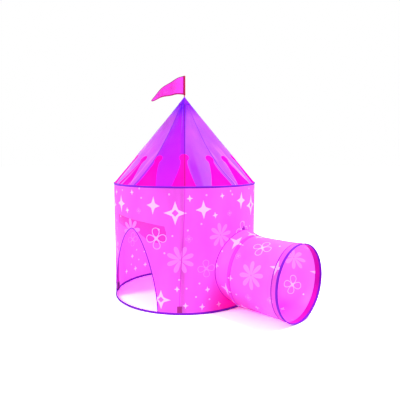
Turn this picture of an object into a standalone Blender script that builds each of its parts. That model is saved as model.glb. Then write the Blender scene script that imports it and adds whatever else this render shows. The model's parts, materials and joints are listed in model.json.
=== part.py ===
"""Castle play tent with a crawl tunnel: a round fabric tent on four jointed poles.

A steel hoop at the floor and another at the eave hold the walls round, four poles stand in
pockets at the foot of the wall seams, turn over at the eave in elbows and meet in a hub under
the apex. The hub also holds the flagpole. A short tunnel on two hoops is sewn into the wall.

All lengths are in metres. The azimuth is in degrees, 0 at the front (-Y), positive towards +X.
"""

import math

import bmesh
import bpy
from mathutils import Matrix, Vector

# Driving sizes of the tent
TENT_RADIUS = 0.500
WALL_HEIGHT = 0.800
APEX_HEIGHT = 1.400
ROOF_SAG = 0.022
FABRIC = 0.0008
SEAT_GAP = 0.0003
WALL_SEAM_COUNT = 4

# Hoops and the tape that is sewn round them
HOOP_WIRE_D = 0.0035
HOOP_CLEARANCE = 0.0005
BINDING_WALL = 0.0015
BINDING_HEIGHT = 0.010

# Poles, with the sleeves, elbows, hub and pockets that hold them
POLE_D = 0.006
SOCKET_CLEARANCE = 0.0003
ELBOW_WALL = 0.0017
ELBOW_LEG = 0.034
POLE_STOP = 0.004
SLEEVE_CLEARANCE = 0.0006
SLEEVE_WALL = 0.0008
SLEEVE_END_GAP = 0.004
POCKET_WIDTH = 0.030
POCKET_HEIGHT = 0.052
POCKET_WALL = 0.0018
POCKET_FLOOR = 0.0025
POCKET_EDGE = 0.0020
HUB_BOSS_WALL = 0.0030
HUB_BOSS_ABOVE = 0.006
HUB_FLOOR = 0.011
HUB_ARM_SOCKET = 0.030
CAP_RADIUS = 0.042

# Flagpole and flag
FLAGPOLE_D = 0.008
FLAGPOLE_SOCKET = 0.040
FLAGPOLE_BARE = 0.017
FLAG_HOIST = 0.125
FLAG_LENGTH = 0.232
FLAG_TIP_HEIGHT = 0.016
FLAG_DROOP = 0.105
FLAG_DROOP_POWER = 1.3
FLAG_WAVE = 0.013
FLAG_WAVE_COUNT = 1.6
FLAG_WAVE_POWER = 0.6
FLAG_WAVE_LIFT = 0.3
FLAG_SLEEVE_WALL = 0.0012
FLAG_FABRIC = 0.0010
FLAG_AZIMUTH = -90.0

# Door opening and the flap rolled up behind it
DOOR_AZIMUTH = -46.5
DOOR_LEAN = 6.0
DOOR_WIDTH = 0.490
DOOR_HEIGHT = 0.530
DOOR_SLOPE = 1.35
DOOR_ROUND = 0.62
PIPING_D = 0.006
ROLL_START_AZIMUTH = -66.0
ROLL_END_AZIMUTH = -17.0
ROLL_HALF_HEIGHT = 0.038
ROLL_HALF_DEPTH = 0.013
ROLL_START_Z = 0.604
ROLL_END_Z = 0.540
ROLL_LOBES = 3
ROLL_LOBE_DEPTH = 0.16
ROLL_TWIST = 5.0
ROLL_TAPER = 0.45
ROLL_NECK = 0.30
ROLL_NECK_REACH = 0.04
ROLL_POINT = 0.001
TIE_PLACES = (0.352, 0.658)
TIE_WIDTH = 0.012
TIE_THICKNESS = 0.0012
TIE_GAP = 0.0005

# Tunnel: its axis runs level, passes beside the tent's axis and points to TUNNEL_AZIMUTH. Its
# length and the places of its rear hoop and saddle are counted from the wall's radius
TUNNEL_AZIMUTH = 44.0
TUNNEL_SHIFT = 0.065
TUNNEL_RADIUS = 0.240
TUNNEL_LENGTH = 0.440
REAR_HOOP_OUT = 0.080
HEM_WIDTH = 0.045
PORT_RADIUS = 0.238
PORT_HEIGHT = 0.266
SADDLE_OUT = 0.006
SADDLE_SHARE = 0.1
CASING_WIDTH = 0.016
CASING_DEPTH = 0.008
TAB_WIDTH = 0.030
TAB_HEIGHT = 0.014
TAB_THICKNESS = 0.0014

# Mesh fineness
RING_STEPS = 48
GORE_COLUMNS = (5, 7, 7, 5, 5, 7, 7, 5)
TUNNEL_STEPS = 40
WALL_ROWS = 4
GORE_ROWS = 8
DOOR_STEPS = 16
TUBE_SIDES = 10
ROD_FINENESS = 3
CORD_FINENESS = 1
HUB_SIDES = 16
HEM_SIDES = 12
BALL_ROWS = 8
ROLL_COLUMNS = 26
ROLL_ROUND = 12
ROLL_SMOOTH_ANGLE = 60.0
FLAG_COLUMNS = 16
FLAG_ROWS = 5
SHARP_ANGLE = 35.0
OVERCUT = 0.002
CUT_MARGIN = 0.060

# Worked out from the sizes above
STEP_ANGLE = 2 * math.pi / RING_STEPS
POLE_R = POLE_D / 2
SOCKET_R = POLE_R + SOCKET_CLEARANCE
ELBOW_R = SOCKET_R + ELBOW_WALL
BINDING_HALF = HOOP_WIRE_D / 2 + HOOP_CLEARANCE + BINDING_WALL
HOOP_RISE = BINDING_WALL + SEAT_GAP + HOOP_WIRE_D / 2
SHEET_INSET = BINDING_WALL + SEAT_GAP + HOOP_WIRE_D + SEAT_GAP
WALL_INNER = TENT_RADIUS - FABRIC / 2
WALL_SEAT_R = WALL_INNER * math.cos(STEP_ANGLE / 2) - SEAT_GAP
POLE_RING_R = TENT_RADIUS - BINDING_HALF - SEAT_GAP - ELBOW_R
EAVE_TOP = WALL_HEIGHT + BINDING_HALF
ROOF_FOOT_R = TENT_RADIUS - BINDING_HALF + FABRIC
ROOF_FOOT_Z = EAVE_TOP + SEAT_GAP + FABRIC / 2
ROOF_SLOPE = math.atan2(APEX_HEIGHT - ROOF_FOOT_Z, ROOF_FOOT_R)
POLE_UNDER_ROOF = (ELBOW_R + SEAT_GAP + FABRIC / 2) / math.cos(ROOF_SLOPE)
ELBOW_Z = APEX_HEIGHT - POLE_RING_R * math.tan(ROOF_SLOPE) - POLE_UNDER_ROOF
HUB_Z = ELBOW_Z + POLE_RING_R * math.tan(ROOF_SLOPE)
FLAGPOLE_R = FLAGPOLE_D / 2
HUB_BORE_R = FLAGPOLE_R + SOCKET_CLEARANCE
HUB_BOSS_R = HUB_BORE_R + HUB_BOSS_WALL
HUB_TOP = HUB_Z + HUB_BOSS_ABOVE
HUB_ARM_STOP = HUB_BOSS_R / math.cos(ROOF_SLOPE) + SOCKET_R * math.tan(ROOF_SLOPE)
HUB_ARM_REACH = HUB_ARM_STOP + HUB_ARM_SOCKET
GORE_TOP_R = HUB_BOSS_R + FABRIC + SEAT_GAP
PIPING_R = PIPING_D / 2
ROLL_LENGTH = TENT_RADIUS * math.radians(ROLL_END_AZIMUTH - ROLL_START_AZIMUTH)
TIE_HALF_SHARE = TIE_WIDTH / 2 / ROLL_LENGTH
TUNNEL_SHEET_R = TUNNEL_RADIUS - BINDING_HALF
TUNNEL_REACH = TENT_RADIUS + TUNNEL_LENGTH
REAR_HOOP_REACH = TENT_RADIUS + REAR_HOOP_OUT
SADDLE_REACH = TENT_RADIUS + SADDLE_OUT

# The origin lies on the floor under the middle of the whole object, not on the tent's axis
TUNNEL_SIN = math.sin(math.radians(TUNNEL_AZIMUTH))
TUNNEL_COS = math.cos(math.radians(TUNNEL_AZIMUTH))
EAST = TUNNEL_REACH * TUNNEL_SIN + (TUNNEL_SHIFT + TUNNEL_RADIUS) * TUNNEL_COS
SOUTH = TUNNEL_REACH * TUNNEL_COS - (TUNNEL_SHIFT - TUNNEL_RADIUS) * TUNNEL_SIN
TENT_X = (TENT_RADIUS + BINDING_HALF - EAST) / 2
TENT_Y = (SOUTH - TENT_RADIUS - BINDING_HALF) / 2


def clear_scene():
    for item in list(bpy.data.objects):
        bpy.data.objects.remove(item, do_unlink=True)


def new_collection(name):
    made = bpy.data.collections.new(name)
    bpy.context.scene.collection.children.link(made)
    return made


def new_material(name, colour, roughness, metallic=0.0):
    made = bpy.data.materials.new(name)
    made.use_nodes = True
    shader = made.node_tree.nodes["Principled BSDF"]
    shader.inputs["Base Color"].default_value = (*colour, 1.0)
    shader.inputs["Roughness"].default_value = roughness
    shader.inputs["Metallic"].default_value = metallic
    made.diffuse_color = (*colour, 1.0)
    return made


clear_scene()
PARTS = new_collection("play_tent")
CUTTERS = new_collection("cutters")

WALL_FABRIC = new_material("wall_fabric", (0.93, 0.16, 0.86), 0.55)
ROOF_FABRIC = new_material("roof_fabric", (0.50, 0.05, 0.86), 0.45)
BINDING_TAPE = new_material("binding_tape", (0.19, 0.02, 0.55), 0.60)
FLAG_FABRIC_PINK = new_material("flag_fabric", (0.95, 0.10, 0.72), 0.50)
SPRING_STEEL = new_material("spring_steel", (0.55, 0.55, 0.57), 0.30, 1.0)
FIBREGLASS = new_material("fibreglass", (0.82, 0.82, 0.80), 0.40)
HUB_PLASTIC = new_material("hub_plastic", (0.86, 0.86, 0.88), 0.35)
POLE_PLASTIC = new_material("flagpole_plastic", (0.66, 0.02, 0.13), 0.35)
WEBBING = new_material("webbing", (0.30, 0.24, 0.32), 0.80)

tent_frame = bpy.data.objects.new("tent_axis", None)
tent_frame.location = (TENT_X, TENT_Y, 0.0)
PARTS.objects.link(tent_frame)


def new_empty(name, location):
    made = bpy.data.objects.new(name, None)
    made.location = location
    made.parent = tent_frame
    PARTS.objects.link(made)
    return made


def show(mesh_data, name, material, location=(0, 0, 0), rotation=(0, 0, 0), parent=None):
    """Put mesh or curve data into the scene as one named part."""
    made = bpy.data.objects.new(name, mesh_data)
    if material is not None and not mesh_data.materials:
        mesh_data.materials.append(material)
    made.location = location
    made.rotation_euler = rotation
    made.parent = parent or tent_frame
    PARTS.objects.link(made)
    return made


def as_cutter(made):
    """Move an object to the cutters, where it takes no part in the model."""
    PARTS.objects.unlink(made)
    CUTTERS.objects.link(made)
    made.hide_render = True
    made.display_type = "WIRE"
    return made


def boolean(target, tool, operation="DIFFERENCE"):
    step = target.modifiers.new(f"{operation.lower()}_{tool.name}", "BOOLEAN")
    step.object = tool
    step.operation = operation
    step.solver = "EXACT"
    return step


def mesh_from(bm, name):
    data = bpy.data.meshes.new(name)
    bm.normal_update()
    bm.to_mesh(data)
    bm.free()
    return data


def smooth(data, angle=SHARP_ANGLE):
    """Shade a mesh smooth, except over edges sharper than an angle in degrees."""
    data.shade_smooth()
    data.set_sharp_from_angle(angle=math.radians(angle))


def polar(radius, azimuth, z):
    turn = math.radians(azimuth)
    return Vector((radius * math.sin(turn), -radius * math.cos(turn), z))


def in_tunnel(along, across, z):
    """A point from its distance along the tunnel, beside the tent's axis and above the floor."""
    x = along * TUNNEL_SIN + across * TUNNEL_COS
    y = -along * TUNNEL_COS + across * TUNNEL_SIN
    return Vector((x, y, z))


def sheet(name, columns, rows, place, material, thickness=FABRIC, closed=False, axis=None):
    """A cloth of even thickness about the surface place(u, v), u and v from 0 to 1.

    A cloth that moves has an empty on its joint as axis, and its surface keeps its place.
    """
    origin = axis.location if axis is not None else Vector((0, 0, 0))
    bm = bmesh.new()
    bmesh.ops.create_grid(bm, x_segments=columns, y_segments=rows, size=0.5)
    for vertex in bm.verts:
        vertex.co = place(vertex.co.x + 0.5, vertex.co.y + 0.5) - origin
    if closed:
        bmesh.ops.remove_doubles(bm, verts=bm.verts, dist=1e-6)
    made = show(mesh_from(bm, name), name, material, parent=axis)
    smooth(made.data)
    solid = made.modifiers.new("cloth", "SOLIDIFY")
    solid.thickness = thickness
    solid.offset = 0.0
    solid.use_even_offset = True
    return made


def rod(name, start, end, radius, material, parent=None):
    """A round bar or wire between two points, with closed ends."""
    data = bpy.data.curves.new(name, "CURVE")
    data.dimensions = "3D"
    data.bevel_depth = radius
    data.bevel_resolution = ROD_FINENESS
    data.use_fill_caps = True
    line = data.splines.new("POLY")
    line.points.add(1)
    line.points[0].co = (*start, 1.0)
    line.points[1].co = (*end, 1.0)
    return show(data, name, material, parent=parent)


def piping(name, points, radius, material, cyclic=False, parent=None):
    """A thin round cord along many points."""
    data = bpy.data.curves.new(name, "CURVE")
    data.dimensions = "3D"
    data.bevel_depth = radius
    data.bevel_resolution = CORD_FINENESS
    data.use_fill_caps = not cyclic
    line = data.splines.new("POLY")
    line.points.add(len(points) - 1)
    for index, point in enumerate(points):
        line.points[index].co = (*point, 1.0)
    line.use_cyclic_u = cyclic
    return show(data, name, material, parent=parent)


def turned(name, profile, steps, material, location=(0, 0, 0), rotation=(0, 0, 0), parent=None):
    """A closed profile of (radius, z) points turned once round the local Z axis."""
    bm = bmesh.new()
    corners = [bm.verts.new((radius, 0.0, z)) for radius, z in profile]
    for index, corner in enumerate(corners):
        bm.edges.new((corner, corners[(index + 1) % len(corners)]))
    made = show(mesh_from(bm, name), name, material, location, rotation, parent)
    screw = made.modifiers.new("turn", "SCREW")
    screw.angle = 2 * math.pi
    screw.steps = steps
    screw.render_steps = steps
    screw.use_merge_vertices = True
    screw.merge_threshold = 0.0001
    screw.use_smooth_shade = False
    return made


def binding_profile(radius):
    """A folded tape: flat at z = 0, round the hoop, and closed on the cloth at its open end."""
    slit = FABRIC / 2 + SEAT_GAP
    shoulder = HOOP_RISE + HOOP_WIRE_D / 2
    inner = BINDING_HALF - BINDING_WALL
    right_side = [
        (BINDING_HALF, 0.0),
        (BINDING_HALF, shoulder),
        (slit + BINDING_WALL, BINDING_HEIGHT),
        (slit, BINDING_HEIGHT),
        (inner, shoulder),
        (inner, BINDING_WALL),
    ]
    left_side = [(-offset, z) for offset, z in reversed(right_side)]
    loop = [(radius + offset, z) for offset, z in right_side + left_side]
    return loop[::-1]


def hoop(name, radius, steps, location, rotation=(0, 0, 0), parent=None):
    """A ring of round spring wire about the local Z axis."""
    turns = [2 * math.pi * index / steps for index in range(steps)]
    points = [(radius * math.cos(turn), radius * math.sin(turn), 0.0) for turn in turns]
    made = piping(name, points, HOOP_WIRE_D / 2, SPRING_STEEL, cyclic=True, parent=parent)
    made.location = location
    made.rotation_euler = rotation
    return made


def cylinder(name, radius, start, end, sides=TUBE_SIDES, capped=True, material=None):
    """A mesh cylinder between two points, in the tent's own frame."""
    start = Vector(start)
    end = Vector(end)
    axis = end - start
    bm = bmesh.new()
    bmesh.ops.create_cone(
        bm, cap_ends=capped, segments=sides, radius1=radius, radius2=radius, depth=axis.length
    )
    turn = axis.to_track_quat("Z", "Y").to_matrix().to_4x4()
    bmesh.ops.transform(bm, matrix=Matrix.Translation((start + end) / 2) @ turn, verts=bm.verts)
    return show(mesh_from(bm, name), name, material)


def baked(made, name):
    """The evaluated shape of an object as a mesh of its own, and the object removed."""
    bpy.context.view_layer.update()
    graph = bpy.context.evaluated_depsgraph_get()
    data = bpy.data.meshes.new_from_object(made.evaluated_get(graph))
    data.name = name
    bpy.data.objects.remove(made, do_unlink=True)
    return data


def seam_azimuths(count):
    return [360.0 * index / count for index in range(count)]


def hoops_and_bindings():
    """The floor and eave hoops, each in its folded tape."""
    turned("base_binding", binding_profile(TENT_RADIUS), RING_STEPS, BINDING_TAPE)
    hoop("base_hoop", TENT_RADIUS, RING_STEPS, (0, 0, HOOP_RISE))
    upside_down = (math.pi, 0, 0)
    turned(
        "eave_binding",
        binding_profile(TENT_RADIUS),
        RING_STEPS,
        BINDING_TAPE,
        (0, 0, EAVE_TOP),
        upside_down,
    )
    hoop("eave_hoop", TENT_RADIUS, RING_STEPS, (0, 0, EAVE_TOP - HOOP_RISE))


def door_arch():
    """The door's edge from the left foot over the top to the right foot, as arc length and z."""
    first = (BINDING_HEIGHT + SEAT_GAP + PIPING_R) / DOOR_HEIGHT
    quarter = [math.pi / 2 * index / DOOR_STEPS for index in range(DOOR_STEPS + 1)]
    shares = [first + (1.0 - first) * math.sin(turn) for turn in quarter]

    def edge(share, side):
        half = DOOR_WIDTH / 2 * (1.0 - share**DOOR_SLOPE) ** DOOR_ROUND
        middle = TENT_RADIUS * math.radians(DOOR_AZIMUTH + DOOR_LEAN * share)
        return Vector((middle + side * half, share * DOOR_HEIGHT))

    left = [edge(share, -1) for share in shares]
    right = [edge(share, 1) for share in shares[:-1]]
    return left + right[::-1]


def pushed_out(points, distance):
    """A flat line of points moved to its left by a distance."""
    moved = []
    for index, point in enumerate(points):
        before = points[max(index - 1, 0)]
        after = points[min(index + 1, len(points) - 1)]
        ahead = (after - before).normalized()
        moved.append(point + Vector((-ahead.y, ahead.x)) * distance)
    return moved


def door_cutter():
    """A straight prism on the door's outline that passes through the wall on one side only."""
    facing = math.radians(DOOR_AZIMUTH + DOOR_LEAN / 2)
    arch = []
    for arc, z in door_arch():
        arch.append(Vector((TENT_RADIUS * math.sin(arc / TENT_RADIUS - facing), z)))
    outline = pushed_out(arch, PIPING_R + SEAT_GAP)
    feet = [Vector((outline[index].x, -BINDING_HEIGHT)) for index in (-1, 0)]
    near = math.sqrt(TENT_RADIUS**2 - (DOOR_WIDTH / 2) ** 2) - CUT_MARGIN
    far = TENT_RADIUS + CUT_MARGIN
    bm = bmesh.new()
    corners = [bm.verts.new((point.x, -near, point.y)) for point in outline + feet]
    face = bm.faces.new(corners)
    grown = bmesh.ops.extrude_face_region(bm, geom=[face])
    moved = [item for item in grown["geom"] if isinstance(item, bmesh.types.BMVert)]
    bmesh.ops.translate(bm, verts=moved, vec=(0.0, near - far, 0.0))
    bmesh.ops.recalc_face_normals(bm, faces=bm.faces)
    made = show(mesh_from(bm, "door_cut"), "door_cut", None, rotation=(0, 0, facing))
    return as_cutter(made)


def port_cutter():
    """A level cylinder along the tunnel that cuts the round port."""
    radius = PORT_RADIUS + PIPING_R + SEAT_GAP
    nearest = math.sqrt(TENT_RADIUS**2 - (TUNNEL_SHIFT + radius) ** 2)
    start = in_tunnel(nearest - CUT_MARGIN, TUNNEL_SHIFT, PORT_HEIGHT)
    end = in_tunnel(TENT_RADIUS + CUT_MARGIN, TUNNEL_SHIFT, PORT_HEIGHT)
    return as_cutter(cylinder("port_cut", radius, start, end, sides=TUNNEL_STEPS))


def wall_panels():
    """Four quarter walls, sewn together over the poles, with the door and port cut out."""
    low = SHEET_INSET
    high = EAVE_TOP - SHEET_INSET
    quarter = 360.0 / WALL_SEAM_COUNT
    inset = math.degrees(SEAT_GAP / 2 / TENT_RADIUS)
    names = ("front_right", "back_right", "back_left", "front_left")
    panels = {}
    for name, start in zip(names, seam_azimuths(WALL_SEAM_COUNT)):

        def place(u, v, start=start):
            azimuth = start + inset + u * (quarter - 2 * inset)
            return polar(TENT_RADIUS, azimuth, low + v * (high - low))

        columns = RING_STEPS // WALL_SEAM_COUNT
        panels[name] = sheet(f"wall_panel_{name}", columns, WALL_ROWS, place, WALL_FABRIC)
    boolean(panels["front_left"], door_cutter())
    boolean(panels["front_right"], port_cutter())


def roof_point(azimuth, rise):
    """A point on the roof cloth: rise 0 at the eave and 1 at the apex, sunk between the poles."""
    turn = math.radians(azimuth) * WALL_SEAM_COUNT
    between = (1.0 - math.cos(turn)) / 2
    sink = ROOF_SAG * between * math.sin(math.pi * rise)
    radius = ROOF_FOOT_R * (1.0 - rise) - sink * math.sin(ROOF_SLOPE)
    z = ROOF_FOOT_Z + (APEX_HEIGHT - ROOF_FOOT_Z) * rise - sink * math.cos(ROOF_SLOPE)
    return polar(radius, azimuth, z)


def roof_gores():
    """Eight gores of the pointed roof, and the small cap over their tips."""
    top_rise = 1.0 - GORE_TOP_R / ROOF_FOOT_R
    start = 0.0
    for index, columns in enumerate(GORE_COLUMNS):
        width = math.degrees(columns * STEP_ANGLE)

        def place(u, v, start=start, width=width):
            rise = v * top_rise
            radius = ROOF_FOOT_R * (1.0 - rise)
            inset = math.degrees(SEAT_GAP / 2 / radius)
            return roof_point(start + inset + u * (width - 2 * inset), rise)

        sheet(f"roof_gore_{index + 1}", columns, GORE_ROWS, place, ROOF_FABRIC)
        start += width

    def cap_place(u, v):
        radius = GORE_TOP_R + v * (CAP_RADIUS - GORE_TOP_R)
        return polar(radius, u * 360.0, APEX_HEIGHT + lift - radius * math.tan(ROOF_SLOPE))

    lift = (FABRIC + SEAT_GAP) / math.cos(ROOF_SLOPE)
    sheet("apex_cap", RING_STEPS, 1, cap_place, ROOF_FABRIC, closed=True)


def roof_direction():
    return Vector((-math.cos(ROOF_SLOPE), 0.0, math.sin(ROOF_SLOPE)))


def elbow_mesh():
    """One elbow about its corner: a leg down for the wall pole and one up the roof, both bored."""
    down = Vector((0, 0, -1))
    up_roof = roof_direction()
    corner = Vector((0, 0, 0))
    body = cylinder("elbow_body", ELBOW_R, corner, down * ELBOW_LEG)
    roof_leg = as_cutter(cylinder("elbow_roof_leg", ELBOW_R, corner, up_roof * ELBOW_LEG))
    knuckle = bmesh.new()
    bmesh.ops.create_uvsphere(knuckle, u_segments=TUBE_SIDES, v_segments=BALL_ROWS, radius=ELBOW_R)
    ball = as_cutter(show(mesh_from(knuckle, "elbow_ball"), "elbow_ball", None))
    tools = [roof_leg, ball]
    boolean(body, roof_leg, "UNION")
    boolean(body, ball, "UNION")
    for name, way in (("elbow_wall_bore", down), ("elbow_roof_bore", up_roof)):
        bore = as_cutter(cylinder(name, SOCKET_R, way * POLE_STOP, way * (ELBOW_LEG + OVERCUT)))
        tools.append(bore)
        boolean(body, bore)
    data = baked(body, "elbow")
    data.materials.clear()
    data.materials.append(HUB_PLASTIC)
    smooth(data)
    return data, tools


def pocket_mesh():
    """One pole pocket about the pole's line, its foot at z = 0 and its back towards +X."""
    back = pocket_back() - POLE_RING_R
    front = -(SOCKET_R + POCKET_WALL)
    bm = bmesh.new()
    bmesh.ops.create_cube(bm, size=1.0)
    size = Vector((back - front, POCKET_WIDTH, POCKET_HEIGHT))
    bmesh.ops.scale(bm, vec=size, verts=bm.verts)
    bmesh.ops.translate(bm, vec=((back + front) / 2, 0, POCKET_HEIGHT / 2), verts=bm.verts)
    pouch = show(mesh_from(bm, "pocket_body"), "pocket_body", WEBBING)
    edges = pouch.modifiers.new("soft_edges", "BEVEL")
    edges.width = POCKET_EDGE
    edges.segments = 1
    over = Vector((0, 0, POCKET_HEIGHT + OVERCUT))
    bore = as_cutter(cylinder("pocket_bore", SOCKET_R, (0, 0, POCKET_FLOOR), over))
    boolean(pouch, bore)
    return baked(pouch, "pole_pocket"), [bore]


def pocket_back():
    """Distance from the tent's axis of a flat back that clears the faceted wall."""
    return WALL_INNER - POCKET_WIDTH / 2 * math.tan(STEP_ANGLE / 2) - SEAT_GAP


def tube(name, start, end, inner, wall, material, parent=None):
    """An open tube between two points."""
    made = cylinder(name, inner, start, end, capped=False, material=material)
    if parent is not None:
        made.parent = parent
    solid = made.modifiers.new("wall", "SOLIDIFY")
    solid.thickness = wall
    solid.offset = 1.0
    solid.use_even_offset = True
    return made


def poles():
    """Wall poles, roof poles, elbows, pockets and sleeves, four of each."""
    elbow_data, elbow_tools = elbow_mesh()
    pocket_data, pocket_tools = pocket_mesh()
    pocket_z = BINDING_HEIGHT + SEAT_GAP
    foot = pocket_z + POCKET_FLOOR + SEAT_GAP
    wall_top = ELBOW_Z - POLE_STOP - SEAT_GAP
    up_roof = roof_direction()
    roof_length = POLE_RING_R / math.cos(ROOF_SLOPE)
    sides = ("front", "right", "back", "left")
    for side, azimuth in zip(sides, seam_azimuths(WALL_SEAM_COUNT)):
        station = new_empty(f"pole_line_{side}", (0, 0, 0))
        station.rotation_euler = (0, 0, math.radians(azimuth - 90.0))
        corner = Vector((POLE_RING_R, 0, ELBOW_Z))

        def along_roof(distance):
            return corner + up_roof * distance

        show(elbow_data, f"eave_elbow_{side}", HUB_PLASTIC, corner, parent=station)
        pocket_place = (POLE_RING_R, 0, pocket_z)
        show(pocket_data, f"pole_pocket_{side}", WEBBING, pocket_place, parent=station)
        low = Vector((POLE_RING_R, 0, foot))
        high = Vector((POLE_RING_R, 0, wall_top))
        rod(f"wall_pole_{side}", low, high, POLE_R, FIBREGLASS, parent=station)
        first = along_roof(POLE_STOP + SEAT_GAP)
        last = along_roof(roof_length - HUB_ARM_STOP - SEAT_GAP)
        rod(f"roof_pole_{side}", first, last, POLE_R, FIBREGLASS, parent=station)
        inner = POLE_R + SLEEVE_CLEARANCE
        low.z = pocket_z + POCKET_HEIGHT + SLEEVE_END_GAP
        high.z = ELBOW_Z - ELBOW_LEG - SLEEVE_END_GAP
        tube(f"wall_sleeve_{side}", low, high, inner, SLEEVE_WALL, WALL_FABRIC, station)
        first = along_roof(ELBOW_LEG + SLEEVE_END_GAP)
        last = along_roof(roof_length - HUB_ARM_REACH - SLEEVE_END_GAP)
        tube(f"roof_sleeve_{side}", first, last, inner, SLEEVE_WALL, ROOF_FABRIC, station)
    for tool in elbow_tools + pocket_tools:
        bpy.data.objects.remove(tool, do_unlink=True)


def apex_hub():
    """The hub under the apex: four bored arms and a boss with the flagpole's socket."""
    centre = Vector((0, 0, HUB_Z))
    socket_floor = HUB_TOP - FLAGPOLE_SOCKET
    bottom = (0, 0, socket_floor - HUB_FLOOR)
    hub = cylinder("apex_hub", HUB_BOSS_R, bottom, (0, 0, HUB_TOP), HUB_SIDES, material=HUB_PLASTIC)
    outward = -roof_direction()
    ways = []
    for azimuth in seam_azimuths(WALL_SEAM_COUNT):
        ways.append(Matrix.Rotation(math.radians(azimuth - 90.0), 3, "Z") @ outward)
    for index, way in enumerate(ways):
        start = centre + way * HUB_BORE_R
        arm = cylinder(f"hub_arm_{index}", ELBOW_R, start, centre + way * HUB_ARM_REACH)
        boolean(hub, as_cutter(arm), "UNION")
    for index, way in enumerate(ways):
        start = centre + way * HUB_ARM_STOP
        end = centre + way * (HUB_ARM_REACH + OVERCUT)
        bore = cylinder(f"hub_arm_bore_{index}", SOCKET_R, start, end)
        boolean(hub, as_cutter(bore))
    top = (0, 0, HUB_TOP + OVERCUT)
    bore = cylinder("hub_flagpole_bore", HUB_BORE_R, (0, 0, socket_floor), top, HUB_SIDES)
    boolean(hub, as_cutter(bore))


def flagpole_and_flag():
    """The flagpole in the hub's socket, and the pennant that turns on it."""
    joint = new_empty("flagpole_axis", (0, 0, HUB_TOP))
    bore_r = FLAGPOLE_R + SOCKET_CLEARANCE
    hem_bottom = APEX_HEIGHT + FLAGPOLE_BARE
    hem_top = hem_bottom + FLAG_HOIST
    pole_top = hem_top - FLAG_SLEEVE_WALL - SEAT_GAP
    foot = (0, 0, SEAT_GAP - FLAGPOLE_SOCKET)
    rod("flagpole", foot, (0, 0, pole_top - HUB_TOP), FLAGPOLE_R, POLE_PLASTIC, joint)
    turn = Matrix.Rotation(math.radians(FLAG_AZIMUTH - 90.0), 3, "Z")

    def place(u, v):
        reach = bore_r + FLAG_SLEEVE_WALL / 2 + u * FLAG_LENGTH
        span = FLAG_HOIST * (1 - u) + FLAG_TIP_HEIGHT * u - 2 * FLAG_FABRIC
        ripple = math.sin(2 * math.pi * FLAG_WAVE_COUNT * u) * u**FLAG_WAVE_POWER
        swing = FLAG_WAVE * ripple
        middle = (hem_top + hem_bottom) / 2 - FLAG_DROOP * u**FLAG_DROOP_POWER
        return turn @ Vector((reach, swing, middle + FLAG_WAVE_LIFT * swing + (v - 0.5) * span))

    flag = sheet(
        "flag", FLAG_COLUMNS, FLAG_ROWS, place, FLAG_FABRIC_PINK, FLAG_FABRIC, axis=joint
    )
    hem_r = bore_r + FLAG_SLEEVE_WALL
    hem = cylinder("flag_hem", hem_r, (0, 0, hem_bottom), (0, 0, hem_top), HEM_SIDES)
    boolean(flag, as_cutter(hem), "UNION")
    bore_low = (0, 0, hem_bottom - OVERCUT)
    bore = cylinder("flag_bore", bore_r, bore_low, (0, 0, pole_top + SEAT_GAP), HEM_SIDES)
    boolean(flag, as_cutter(bore))


def door_piping():
    """The cord sewn round the door's edge, from foot to foot."""
    points = [polar(TENT_RADIUS, math.degrees(arc / TENT_RADIUS), z) for arc, z in door_arch()]
    piping("door_piping", points, PIPING_R, BINDING_TAPE)


def roll_place(share):
    """Azimuth and height of the rolled flap's middle line at a share of its length."""
    azimuth = ROLL_START_AZIMUTH + share * (ROLL_END_AZIMUTH - ROLL_START_AZIMUTH)
    return azimuth, ROLL_START_Z + share * (ROLL_END_Z - ROLL_START_Z)


def roll_neck(share):
    """0 along the free roll, rising to 1 under the whole width of a tie."""
    nearest = min(abs(share - place) for place in TIE_PLACES)
    beside = max(nearest - TIE_HALF_SHARE, 0.0)
    return math.exp(-((beside / ROLL_NECK_REACH) ** 2))


def roll_outline(share, turn, outward):
    """A point round the rolled flap, or outward of it, as distance from the axis and height."""
    neck = roll_neck(share)
    size = math.sin(math.pi * share) ** ROLL_TAPER * (1.0 - ROLL_NECK * neck)
    fold = 0.5 - 0.5 * math.cos(ROLL_LOBES * turn + ROLL_TWIST * share)
    lobe = 1.0 - ROLL_LOBE_DEPTH * (1.0 - neck) * fold
    wide = ROLL_HALF_DEPTH * size * lobe + outward
    high = ROLL_HALF_HEIGHT * size * lobe + outward
    centre = WALL_SEAT_R - (TIE_THICKNESS + TIE_GAP) * neck - ROLL_HALF_DEPTH * size
    return centre + wide * math.cos(turn), high * math.sin(turn)


def roll_shares():
    """Columns along the roll, with one on each edge of each tie."""
    stops = [ROLL_POINT]
    for place in TIE_PLACES:
        stops += [place - TIE_HALF_SHARE, place + TIE_HALF_SHARE]
    stops.append(1.0 - ROLL_POINT)
    shares = []
    for start, end in zip(stops, stops[1:]):
        columns = math.ceil((end - start) * ROLL_COLUMNS)
        shares += [start + (end - start) * index / columns for index in range(columns)]
    return shares + [stops[-1]]


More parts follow.
